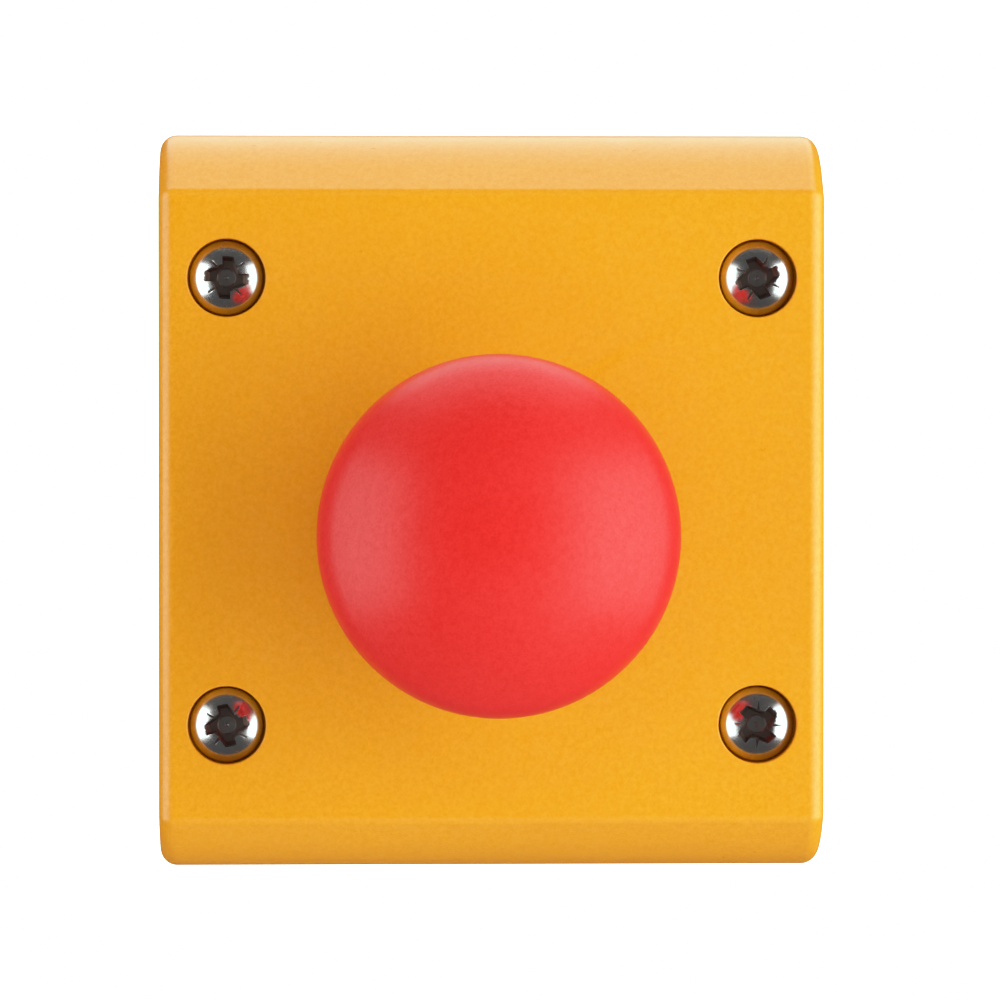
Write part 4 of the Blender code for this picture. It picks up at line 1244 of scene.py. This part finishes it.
class STATION_OT_operator(bpy.types.Operator):
    """Build the push-button's fixed half: threaded barrel, collar, gasket, nut, seal and latch band."""

    bl_idname = "station.operator"
    bl_label = "Operator Body"

    def execute(self, context):
        low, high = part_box("operator_body")
        collar = reach("operator_body")
        barrel = 0.011
        bore = 0.0095
        guide_y = high.y - 0.007
        band_low, band_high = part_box("latch_band")
        band = (band_low.y - 0.0002, band_high.y + 0.0002)
        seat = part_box("collar_gasket")[0].y - 0.0002
        outside = soften([(bore, low.y), (collar - 0.0012, low.y), (collar, low.y + 0.0014), (collar, seat),
                          (barrel + 0.00005, seat)], 0.0005, 3, closed=False)
        pitch = sizes().barrel_pitch
        thread_y = seat + 0.0003
        thread_length = band[0] - 0.0004 - thread_y
        rows = int(thread_length / (pitch / 9))
        outside += [(barrel, thread_y + thread_length * row / rows) for row in range(rows + 1)]
        groove = barrel - 0.0008
        guide = 0.0053
        inside = [(barrel, band[0]), (groove, band[0]), (groove, band[1]), (barrel, band[1]),
                  (barrel, high.y - 0.0003), (barrel - 0.0003, high.y), (guide, high.y), (guide, guide_y),
                  (bore, guide_y)]
        body = Piece("operator_body_black", turned(outside + inside, 96), "black_plastic", AXIS)
        body.run_tree("thread", Pitch=pitch, Depth=0.00048, Start=thread_y - 0.0003, End=band[0],
                      Run_Out=0.0008, Core_Radius=barrel - 0.0004)
        pawl_low, pawl_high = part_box("latch_pawl_left")
        half = (pawl_high.z - pawl_low.z) / 2 + 0.0001
        channel = (pawl_low.y - 0.0001, pawl_high.y + 0.0001)
        body.cut(block((-barrel - PAST, barrel + PAST), channel, (-half, half)))
        body.finish("cover", "operator_body")
        self.add_rings()
        self.add_nut()
        return {"FINISHED"}

    def add_rings(self):
        """Gasket under the collar, wiper seal round the skirt and the band behind the latch springs."""
        low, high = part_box("collar_gasket")
        ring = soften(tube(0.0113, reach("collar_gasket"), low.y, high.y), 0.0003, 3)
        gasket = Piece("collar_gasket_ring", turned(ring, 96), "rubber", AXIS)
        gasket.finish("cover", "collar_gasket")
        low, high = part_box("stem_seal")
        outer = reach("stem_seal")
        lip = [(outer, high.y), (outer, low.y), (outer - 0.0003, low.y), (outer - 0.00045, low.y + 0.0007),
               (outer - 0.0003, high.y - 0.0006), (outer - 0.00045, high.y)]
        seal = Piece("stem_wiper_seal", turned(soften(lip, 0.00012, 2), 96), "rubber", AXIS)
        seal.finish("cover", "stem_seal")
        low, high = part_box("latch_band")
        outer = reach("latch_band")
        inner = outer - 0.0006
        ring = soften(tube(inner, outer, low.y, high.y), 0.00012, 2)
        strip = Piece("latch_spring_band", turned(ring, 96), "spring_steel", AXIS)
        slit = 0.0008
        strip.cut(block((-slit, slit), (low.y - PAST, high.y + PAST), (-outer - PAST, -inner + PAST)))
        strip.finish("cover", "latch_band")

    def add_nut(self):
        low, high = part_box("lock_nut")
        outer = reach("lock_nut")
        bore = 0.0113
        ring = soften([(bore, low.y + 0.0003), (bore + 0.0003, low.y), (outer, low.y), (outer, high.y),
                       (bore + 0.0003, high.y), (bore, high.y - 0.0003)], 0.0004, 2)
        nut = Piece("ribbed_lock_nut", turned(refine(ring, 0.0005), 216), "black_plastic", AXIS)
        nut.run_tree("knurl", Ridges=54.0, Depth=0.00035, Start=low.y + 0.0009, End=high.y - 0.0009,
                     Core_Radius=outer - 0.0006)
        for turn in range(6):
            notch = block((-0.0014, 0.0014), (low.y - PAST, high.y + PAST), (outer - 0.0014, outer + 0.002))
            nut.cut(spun(notch, turn * math.pi / 3))
        nut.finish("cover", "lock_nut")


class STATION_OT_stem(bpy.types.Operator):
    """Build the off-white stem with its latch cone and pusher, and the return spring."""

    bl_idname = "station.stem"
    bl_label = "Stem and Return Spring"

    def execute(self, context):
        low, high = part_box("button_stem")
        pawl_low, pawl_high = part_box("latch_pawl_left")
        slope = 0.22
        travel = 0.0055
        thick = 0.005
        neck = thick - slope * (pawl_high.y - pawl_low.y + travel)
        spring_low, spring_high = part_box("return_spring")
        shoulder_y = spring_low.y + 0.0001
        tip = 0.0027
        profile = [(0.0, low.y), (0.0024, low.y), (tip, low.y + 0.0003), (tip, shoulder_y),
                   (neck, shoulder_y), (neck, pawl_low.y - travel), (thick, pawl_high.y), (thick, high.y),
                   (0.0, high.y)]
        profile = soften(profile, 0.0002, 2, closed=False)
        stem = Piece("stem_with_pusher", turned(profile, 72), "white_plastic", AXIS)
        width, height = half_size("button_stem")
        front = high.y - 0.0022
        stem.add(prism(soften(centred(width, height), 0.0008, 4), (front, high.y)))
        for sign in (-1, 1):
            rib = block((-0.0005, 0.0005), (front - 0.0009, front + 0.0002), (0.0048, height - 0.0007))
            stem.add(on_side(rib, sign))
        stem.finish("button", "button_stem")
        wire = 0.00055
        place = Matrix.Translation((0.0, spring_low.y + 0.00005, AXIS_Z))
        squash = ("button_press", (0.0, 1.0, 0.0), (0.0, spring_high.y, AXIS_Z), 0.80)
        add_spring("return_coil_spring", "return_spring", place, squash, Turns=8.5, Closed_Turns=1.0,
                   Coil_Radius=reach("return_spring") - wire, Wire_Radius=wire,
                   Length=spring_high.y - spring_low.y - 0.0001, Points=420, Wire_Sides=12)
        return {"FINISHED"}


def add_spring(name, node, place, squash=None, **values):
    """Coil made by the spring tree and put in place; a given squash only gives the coil a mesh of its own,
    its joint and amount are not used.
    """
    spring = Piece(name, bmesh.new(), "spring_steel")
    spring.run_tree("coil", **values)
    spring.place = place
    coil = spring.finish("cover", node, sharp=60.0)
    if squash:
        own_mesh(coil)


class STATION_OT_latch(bpy.types.Operator):
    """Build the two brass pawls and their small springs."""

    bl_idname = "station.latch"
    bl_label = "Latch"

    def execute(self, context):
        for side, sign in SIDES:
            low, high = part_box(f"latch_pawl_{side}")
            near, back = (high.x, low.x) if sign < 0 else (low.x, high.x)
            slope = 0.22 * (high.y - low.y)
            outline = [(near, low.y), (near + sign * slope, high.y), (back, high.y), (back, low.y)]
            half = (high.z - low.z) / 2
            loops = [[(x, y, AXIS_Z + z) for x, y in outline] for z in (-half, half)]
            pawl = Piece(f"latch_pawl_{side}_brass", stacked(loops), "brass")
            middle_y = (low.y + high.y) / 2
            peg = turned(rod(0.0006, -0.0009, 0.0003), 24)
            pawl.add(spun(peg, sign * math.pi / 2, "Z"), (back, middle_y, AXIS_Z))
            pawl.bevel(0.00012, 2)
            pawl.finish(f"pawl_{side}", f"latch_pawl_{side}")
            low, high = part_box(f"latch_spring_{side}")
            wire = 0.00022
            start = low.x if sign > 0 else high.x
            aside = Matrix.Rotation(-sign * math.pi / 2, 4, "Z")
            place = Matrix.Translation((start, middle_y, AXIS_Z)) @ aside
            add_spring(f"latch_coil_{side}", f"latch_spring_{side}", place, Turns=4.5, Closed_Turns=0.75,
                       Coil_Radius=(high.z - low.z) / 2 - wire, Wire_Radius=wire, Length=high.x - low.x,
                       Points=140, Wire_Sides=8)
        return {"FINISHED"}


# Contacts ------------------------------------------------------------------------------------------


class STATION_OT_adapter(bpy.types.Operator):
    """Build the carrier that clips onto the barrel and holds the contact blocks."""

    bl_idname = "station.adapter"
    bl_label = "Contact Adapter"

    def execute(self, context):
        low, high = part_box("contact_adapter")
        half_x, half_z = half_size("contact_adapter")
        barrel_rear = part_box("operator_body")[1].y
        plate_y = barrel_rear - 0.002
        plate = prism(soften(centred(half_x, half_z), 0.0018, 5), (plate_y, high.y))
        round_edges(plate, lies_at(plate_y), 0.0006)
        round_edges(plate, lies_at(high.y), 0.0003)
        adapter = Piece("contact_adapter_frame", plate, "contact_plastic", AXIS)
        sleeve = soften(rod(0.0136, low.y, plate_y + 0.001), 0.0005, 3, closed=False)
        adapter.add(turned(sleeve, 72))
        adapter.cut(turned(rod(0.0113, low.y - 0.002, barrel_rear + 0.0005), 96))
        stem_x, stem_z = half_size("button_stem")
        window = soften(centred(stem_x + 0.0011, stem_z + 0.0018), 0.001, 4)
        adapter.cut(prism(window, (barrel_rear, high.y + PAST)))
        groove_y = (plate_y + 0.0012, high.y - 0.0012)
        for groove_x in ((-half_x - PAST, -half_x + 0.0005), (half_x - 0.0005, half_x + PAST)):
            groove = block(groove_x, groove_y, (-0.0106, -0.0094))
            adapter.cut(row_of(groove, 10, (0.0, 0.0, 0.00222)))
        for sign in (-1, 1):
            catch_z = (half_z - 0.0008, half_z + PAST)
            catch = block((-0.004, 0.004), (plate_y + 0.003, high.y + PAST), catch_z)
            adapter.cut(on_side(catch, sign))
        adapter.finish("cover", "contact_adapter")
        return {"FINISHED"}


class STATION_OT_contacts(bpy.types.Operator):
    """Build the two normally closed contact blocks with plungers, bridges, springs, clamps and lids."""

    bl_idname = "station.contacts"
    bl_label = "Contact Blocks"

    def execute(self, context):
        for side, sign in SIDES:
            at = Vector((centre_of(f"{side}_contact_housing").x, 0.0, AXIS_Z))
            self.add_housing(side, at)
            self.add_lid(side, at)
            self.add_moving(side, at)
            for place, sign_z in (("top", 1), ("bottom", -1)):
                self.add_terminal(side, place, sign_z, at)
        return {"FINISHED"}

    def chamber_half(self, side):
        """Half height of the chamber in which the bridge slides."""
        bridge_low, bridge_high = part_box(f"{side}_contact_bridge")
        return (bridge_high.z - bridge_low.z) / 2 + 0.0006

    def add_housing(self, side, at):
        low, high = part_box(f"{side}_contact_housing")
        half_x, half_z = half_size(f"{side}_contact_housing")
        inner_x = half_x - 0.001
        strip_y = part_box(f"{side}_top_terminal")[1].y
        shell = prism(soften(centred(half_x, half_z), 0.0005, 3), (low.y, high.y))
        round_edges(shell, lies_at(low.y), 0.0004)
        housing = Piece(f"{side}_contact_block", shell, "contact_plastic", at)
        chamber = self.chamber_half(side)
        front_y = low.y + 0.002
        way = 0.0021
        near, far = chamber + 0.0014, half_z - 0.0012
        inside_y = (front_y, high.y + PAST)
        housing.cut(block((-inner_x, inner_x), inside_y, (-chamber, chamber)))
        housing.cut(block((-way, way), (low.y - PAST, front_y + PAST), (-way, way)))
        housing.cut(block((-way, way), (strip_y - 0.0012, strip_y + 0.0002), (-near - PAST, near + PAST)))
        for sign_z in (-1, 1):
            housing.cut(block((-inner_x, inner_x), inside_y, span(sign_z, near, far)))
            entry = soften(rectangle((-0.0022, 0.0022), (strip_y + 0.0006, strip_y + 0.005)), 0.0006, 3)
            ends = (sign_z * (half_z + 0.001), sign_z * (far - 0.001))
            housing.cut(stacked([[(x, y, z) for x, y in entry] for z in ends]))
            groove_z = span(sign_z, half_z - 0.0004, half_z + PAST)
            groove = block((-0.0040, -0.0032), (low.y + 0.002, strip_y - 0.003), groove_z)
            housing.cut(row_of(groove, 5, (0.0018, 0.0, 0.0)))
            notch_z = span(sign_z, half_z - 0.0003, half_z + PAST)
            housing.cut(block((-0.003, 0.003), (high.y - 0.0022, high.y - 0.0012), notch_z))
        housing.finish("cover", f"{side}_contact_housing")

    def add_lid(self, side, at):
        low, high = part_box(f"{side}_contact_rear_cover")
        half_x, half_z = half_size(f"{side}_contact_rear_cover")
        plate_y = high.y - 0.0012
        plate = prism(soften(centred(half_x, half_z), 0.0005, 3), (plate_y, high.y))
        round_edges(plate, lies_at(high.y), 0.0003)
        lid = Piece(f"{side}_contact_lid", plate, "contact_plastic", at)
        lid.add(turned(soften(rod(0.0018, low.y, plate_y + 0.0004), 0.0004, 3, closed=False), 32))
        screw_z = abs(centre_of(f"{side}_top_terminal_screw").z - AXIS_Z)
        hole = [(0.0, plate_y - 0.001), (0.0023, plate_y - 0.001), (0.0023, high.y - 0.0004),
                (0.0027, high.y + 0.00001), (0.0027, high.y + 0.001), (0.0, high.y + 0.001)]
        for sign_z in (-1, 1):
            lid.cut(turned(hole, 48), (0.0, 0.0, sign_z * screw_z))
        lid.cut(prism(soften(centred(0.0032, 0.0070), 0.0006, 3), (high.y - 0.00025, high.y + PAST)))
        rib = block((-0.0026, -0.0020), (high.y - 0.0004, high.y - 0.00005), (-0.006, 0.006))
        lid.add(row_of(rib, 4, (0.0015, 0.0, 0.0)))
        lid.finish("cover", f"{side}_contact_rear_cover")

    def add_moving(self, side, at):
        low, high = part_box(f"{side}_contact_plunger")
        half = reach(f"{side}_contact_plunger")
        pin = prism(soften(centred(half, half), 0.0003, 3), (low.y, high.y))
        round_edges(pin, lies_at(low.y), 0.0005)
        plunger = Piece(f"{side}_red_plunger", pin, "red_plastic", at)
        for turn in range(4):
            flute_y = (low.y + 0.0045, high.y - 0.0025)
            flute = block((-0.0005, 0.0005), flute_y, (half - 0.0004, half + PAST))
            plunger.cut(spun(flute, turn * math.pi / 2))
        plunger.finish(f"contact_{side}", f"{side}_contact_plunger")
        low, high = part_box(f"{side}_contact_bridge")
        half_x, half_z = half_size(f"{side}_contact_bridge")
        strip = prism(soften(centred(half_x, half_z), 0.0005, 4), (low.y, high.y))
        bridge = Piece(f"{side}_bridge_strip", strip, "brass", at)
        for sign_z in (-1, 1):
            tip = turned(arc((0.0, 0.0), 0.0011, math.pi / 2, 0.0, 6)[::-1] + [(0.0, -0.0002)], 32)
            bmesh.ops.scale(tip, vec=(1, -0.22, 1), verts=tip.verts)
            bridge.add(tip, (0.0, low.y + 0.00001, sign_z * (half_z - 0.0016)))
        bridge.bevel(0.00008, 2)
        bridge.finish(f"contact_{side}", f"{side}_contact_bridge")
        low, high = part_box(f"{side}_contact_spring")
        wire = 0.0003
        place = Matrix.Translation((at.x, low.y, at.z))
        squash = (f"contact_{side}_slide", (0.0, 1.0, 0.0), (at.x, high.y, at.z), 0.55)
        add_spring(f"{side}_contact_coil", f"{side}_contact_spring", place, squash, Turns=6.5,
                   Closed_Turns=0.75, Coil_Radius=(high.x - low.x) / 2 - wire, Wire_Radius=wire,
                   Length=high.y - low.y, Points=240, Wire_Sides=8)

    def add_terminal(self, side, place, sign_z, at):
        low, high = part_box(f"{side}_{place}_terminal")
        half_plate = (high.x - low.x) / 2
        neck = 0.0019
        near, far = sorted((abs(low.z - AXIS_Z), abs(high.z - AXIS_Z)))
        wide = self.chamber_half(side) + 0.0014 + 0.0003
        screw_z = abs(centre_of(f"{side}_{place}_terminal_screw").z - AXIS_Z)
        outline = [(-neck, near), (neck, near), (neck, wide), (half_plate, wide), (half_plate, far),
                   (-half_plate, far), (-half_plate, wide), (-neck, wide)]
        outline = soften([(x, sign_z * z) for x, z in outline], 0.0004, 3)
        plate = Piece(f"{side}_{place}_clamp_strip", prism(outline, (low.y, high.y)), "brass", at)
        hole = turned(rod(0.0017, low.y - PAST, high.y + PAST), 40)
        plate.cut(hole, (0.0, 0.0, sign_z * screw_z))
        tooth = block((-half_plate + 0.0005, half_plate - 0.0005), (high.y - 0.00015, high.y + PAST),
                      span(sign_z, far - 0.0006, far - 0.0009))
        plate.cut(row_of(tooth, 2, (0.0, 0.0, -sign_z * 0.0006)))
        plate.bevel(0.00008, 2)
        plate.finish("cover", f"{side}_{place}_terminal")
        self.add_clamp_screw(side, place)

    def add_clamp_screw(self, side, place):
        node = f"{side}_{place}_terminal_screw"
        low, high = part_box(node)
        middle = centre_of(node)
        washer = reach(node)
        head = washer - 0.0006
        head_y = high.y - 0.0018
        shank = 0.0015
        thread_end = head_y - 0.0012
        thread_length = thread_end - low.y - 0.0004
        rows = 60
        profile = [(0.0, low.y), (0.0011, low.y)]
        profile += [(shank, low.y + 0.0004 + thread_length * row / rows) for row in range(rows + 1)]
        profile += soften([(shank, head_y - 0.001), (washer, head_y - 0.001), (washer, head_y),
                           (head, head_y), (head, high.y), (0.0, high.y)], 0.0003, 3, closed=False)
        screw = Piece(f"{side}_{place}_clamp_screw", turned(profile, 48), "zinc", (middle.x, 0.0, middle.z))
        screw.run_tree("thread", Pitch=0.0005, Depth=0.00028, Start=low.y, End=thread_end, Run_Out=0.0006,
                       Core_Radius=0.0013)
        screw.cut(block((-0.0005, 0.0005), (high.y - 0.0009, high.y + PAST), (-washer, washer)))
        screw.finish("cover", node)


# Studio --------------------------------------------------------------------------------------------


def backdrop_material():
    """Matt pale paper that looks pure white from its front, and is see-through from behind."""
    material, net, shader, vector = start_material("Pale backdrop")
    surface = place_group(net, "moulding", Vector=vector, Grain_Size=0.002, Drift_Size=0.08)
    paper = (0.86, 0.86, 0.86)
    net.feed(shader.inputs["Base Color"], net.mix(surface["Drift"], shaded(paper, 0.99), shaded(paper, 1.01)))
    shader.inputs["Roughness"].default_value = 0.9
    shader.inputs["Specular IOR Level"].default_value = 0.0
    white = net.add("ShaderNodeEmission", {"Strength": 2.0}).outputs[0]
    clear = net.add("ShaderNodeBsdfTransparent").outputs[0]
    seen = net.add("ShaderNodeLightPath").outputs["Is Camera Ray"]
    behind = net.add("ShaderNodeNewGeometry").outputs["Backfacing"]
    front = net.add("ShaderNodeMixShader", {0: seen, 1: shader.outputs[0], 2: white}).outputs[0]
    both = net.add("ShaderNodeMixShader", {0: behind, 1: front, 2: clear}).outputs[0]
    net.feed(material.node_tree.nodes["Material Output"].inputs["Surface"], both)
    return material


def softbox(name, power, size, place, target):
    light = bpy.data.lights.new(name, "AREA")
    light.shape = "RECTANGLE"
    light.size = size[0]
    light.size_y = size[1]
    light.energy = power
    lamp = bpy.data.objects.new(name, light)
    lamp.location = place
    direction = Vector(target) - Vector(place)
    lamp.rotation_euler = direction.to_track_quat("-Z", "Y").to_euler()
    lamp.visible_camera = False
    bpy.context.scene.collection.objects.link(lamp)
    return lamp


class STATION_OT_studio(bpy.types.Operator):
    """Set up the pale floor and backdrop, the softboxes and the camera."""

    bl_idname = "station.studio"
    bl_label = "Studio"

    def execute(self, context):
        studio = context.scene.station_studio
        self.add_backdrop()
        self.add_room(context, studio)
        face = Vector((0.0, FACE_Y, 0.0))
        above = Vector((0.0, FACE_Y + 0.53, 0.5))
        softbox("Top softbox", studio.top_power, (0.7, 1.2), above, above - Vector((0.0, 0.0, 1.0)))
        softbox("Left softbox", studio.left_power, (0.5, 0.7), (-0.55, FACE_Y - 0.18, 0.0), face)
        softbox("Right softbox", studio.right_power, (0.5, 0.7), (0.55, FACE_Y - 0.16, 0.0), face)
        half = studio.front_power / 2
        front_lights = (("Side", studio.side_power, (0.75, FACE_Y - 0.75, 0.0), (0.5, 1.8)),
                        ("Upper", half, (0.0, FACE_Y - 0.95, 0.5), (0.6, 0.4)),
                        ("Lower", half, (0.0, FACE_Y - 0.95, -0.5), (0.6, 0.4)))
        for label, power, place, size in front_lights:
            lamp = softbox(f"{label} front light", power, size, place, face)
            lamp.visible_glossy = False
        self.add_camera(context, studio)
        self.set_response(context.scene.view_settings)
        return {"FINISHED"}

    def set_response(self, settings):
        """Print-like response with a soft shoulder in the reds."""
        settings.view_transform = "Standard"
        settings.use_curve_mapping = True
        mapping = settings.curve_mapping
        mapping.use_clip = False
        mapping.extend = "HORIZONTAL"
        curve = mapping.curves[0]
        straight = ((0.0, 0.0), (0.3, 0.3), (0.6, 0.6))
        places = straight + ((0.85, 0.765), (1.07, 0.885), (1.3, 0.95), (1.7, 1.0))
        while len(curve.points) < len(places):
            curve.points.new(0.5, 0.5)
        for point, place in zip(curve.points, places):
            point.location = place
            point.handle_type = "VECTOR"
        mapping.update()

    def add_backdrop(self):
        profile = [(-1.8, -0.9)]
        for step in range(13):
            angle = 0.5 * math.pi * step / 12
            profile.append((0.45 + 0.3 * math.sin(angle), -0.6 - 0.3 * math.cos(angle)))
        profile.append((0.75, 1.6))
        bm = bmesh.new()
        rows = [[bm.verts.new((x, y, z)) for x in (-2.0, 2.0)] for y, z in profile]
        for first, second in zip(rows, rows[1:]):
            bm.faces.new((first[0], first[1], second[1], second[0]))
        backdrop = link_mesh("Backdrop", bm)
        backdrop.data.shade_smooth()
        backdrop.data.materials.append(backdrop_material())
        backdrop.visible_glossy = False

    def add_room(self, context, studio):
        world = bpy.data.worlds.new("Room")
        context.scene.world = world
        world.use_nodes = True
        net = Net(world.node_tree)
        world.node_tree.nodes.clear()
        world.cycles.sampling_method = "NONE"
        rays = net.add("ShaderNodeLightPath").outputs
        strength = net.spread(rays["Is Glossy Ray"], 0.0, 1.0, studio.room, studio.reflected_room)
        strength = net.spread(rays["Is Camera Ray"], 0.0, 1.0, strength, 2.0)
        light = net.add("ShaderNodeBackground", {"Color": (1.0, 1.0, 1.0, 1.0), "Strength": strength})
        net.add("ShaderNodeOutputWorld", {"Surface": light.outputs[0]})

    def add_camera(self, context, studio):
        data = bpy.data.cameras.new("Camera")
        data.lens = studio.focal
        data.sensor_width = 36.0
        data.clip_start = 0.01
        camera = bpy.data.objects.new("Camera", data)
        a, e = studio.azimuth, studio.elevation
        back = Vector((math.sin(a) * math.cos(e), -math.cos(a) * math.cos(e), math.sin(e)))
        aim = Vector((studio.aim_x, FACE_Y, studio.aim_z))
        camera.location = aim + back * studio.distance
        camera.rotation_euler = (-back).to_track_quat("-Z", "Y").to_euler()
        context.scene.collection.objects.link(camera)
        context.scene.camera = camera


# Panel and registration ----------------------------------------------------------------------------


OPERATORS = (
    STATION_OT_cover,
    STATION_OT_base,
    STATION_OT_seal,
    STATION_OT_screws,
    STATION_OT_mushroom,
    STATION_OT_operator,
    STATION_OT_stem,
    STATION_OT_latch,
    STATION_OT_adapter,
    STATION_OT_contacts,
    STATION_OT_studio,
)


class STATION_PT_build(bpy.types.Panel):
    """Lists the building steps in order."""

    bl_idname = "STATION_PT_build"
    bl_label = "Emergency Stop Station"
    bl_space_type = "VIEW_3D"
    bl_region_type = "UI"
    bl_category = "Stop Station"

    def draw(self, context):
        for operator in OPERATORS:
            self.layout.operator(operator.bl_idname)
        scene = context.scene
        for settings in (scene.station_sizes, scene.station_colours, scene.station_studio):
            box = self.layout.box()
            for name in settings.__annotations__:
                box.prop(settings, name)


CLASSES = (StationSizes, StationColours, StationStudio) + OPERATORS + (STATION_PT_build,)


def register():
    for item in CLASSES:
        bpy.utils.register_class(item)
    bpy.types.Scene.station_sizes = bpy.props.PointerProperty(type=StationSizes)
    bpy.types.Scene.station_colours = bpy.props.PointerProperty(type=StationColours)
    bpy.types.Scene.station_studio = bpy.props.PointerProperty(type=StationStudio)


def unregister():
    del bpy.types.Scene.station_studio
    del bpy.types.Scene.station_colours
    del bpy.types.Scene.station_sizes
    for item in reversed(CLASSES):
        bpy.utils.unregister_class(item)


def main():
    register()
    for step in OPERATORS:
        group, name = step.bl_idname.split(".")
        getattr(getattr(bpy.ops, group), name)()


if __name__ == "__main__":
    main()
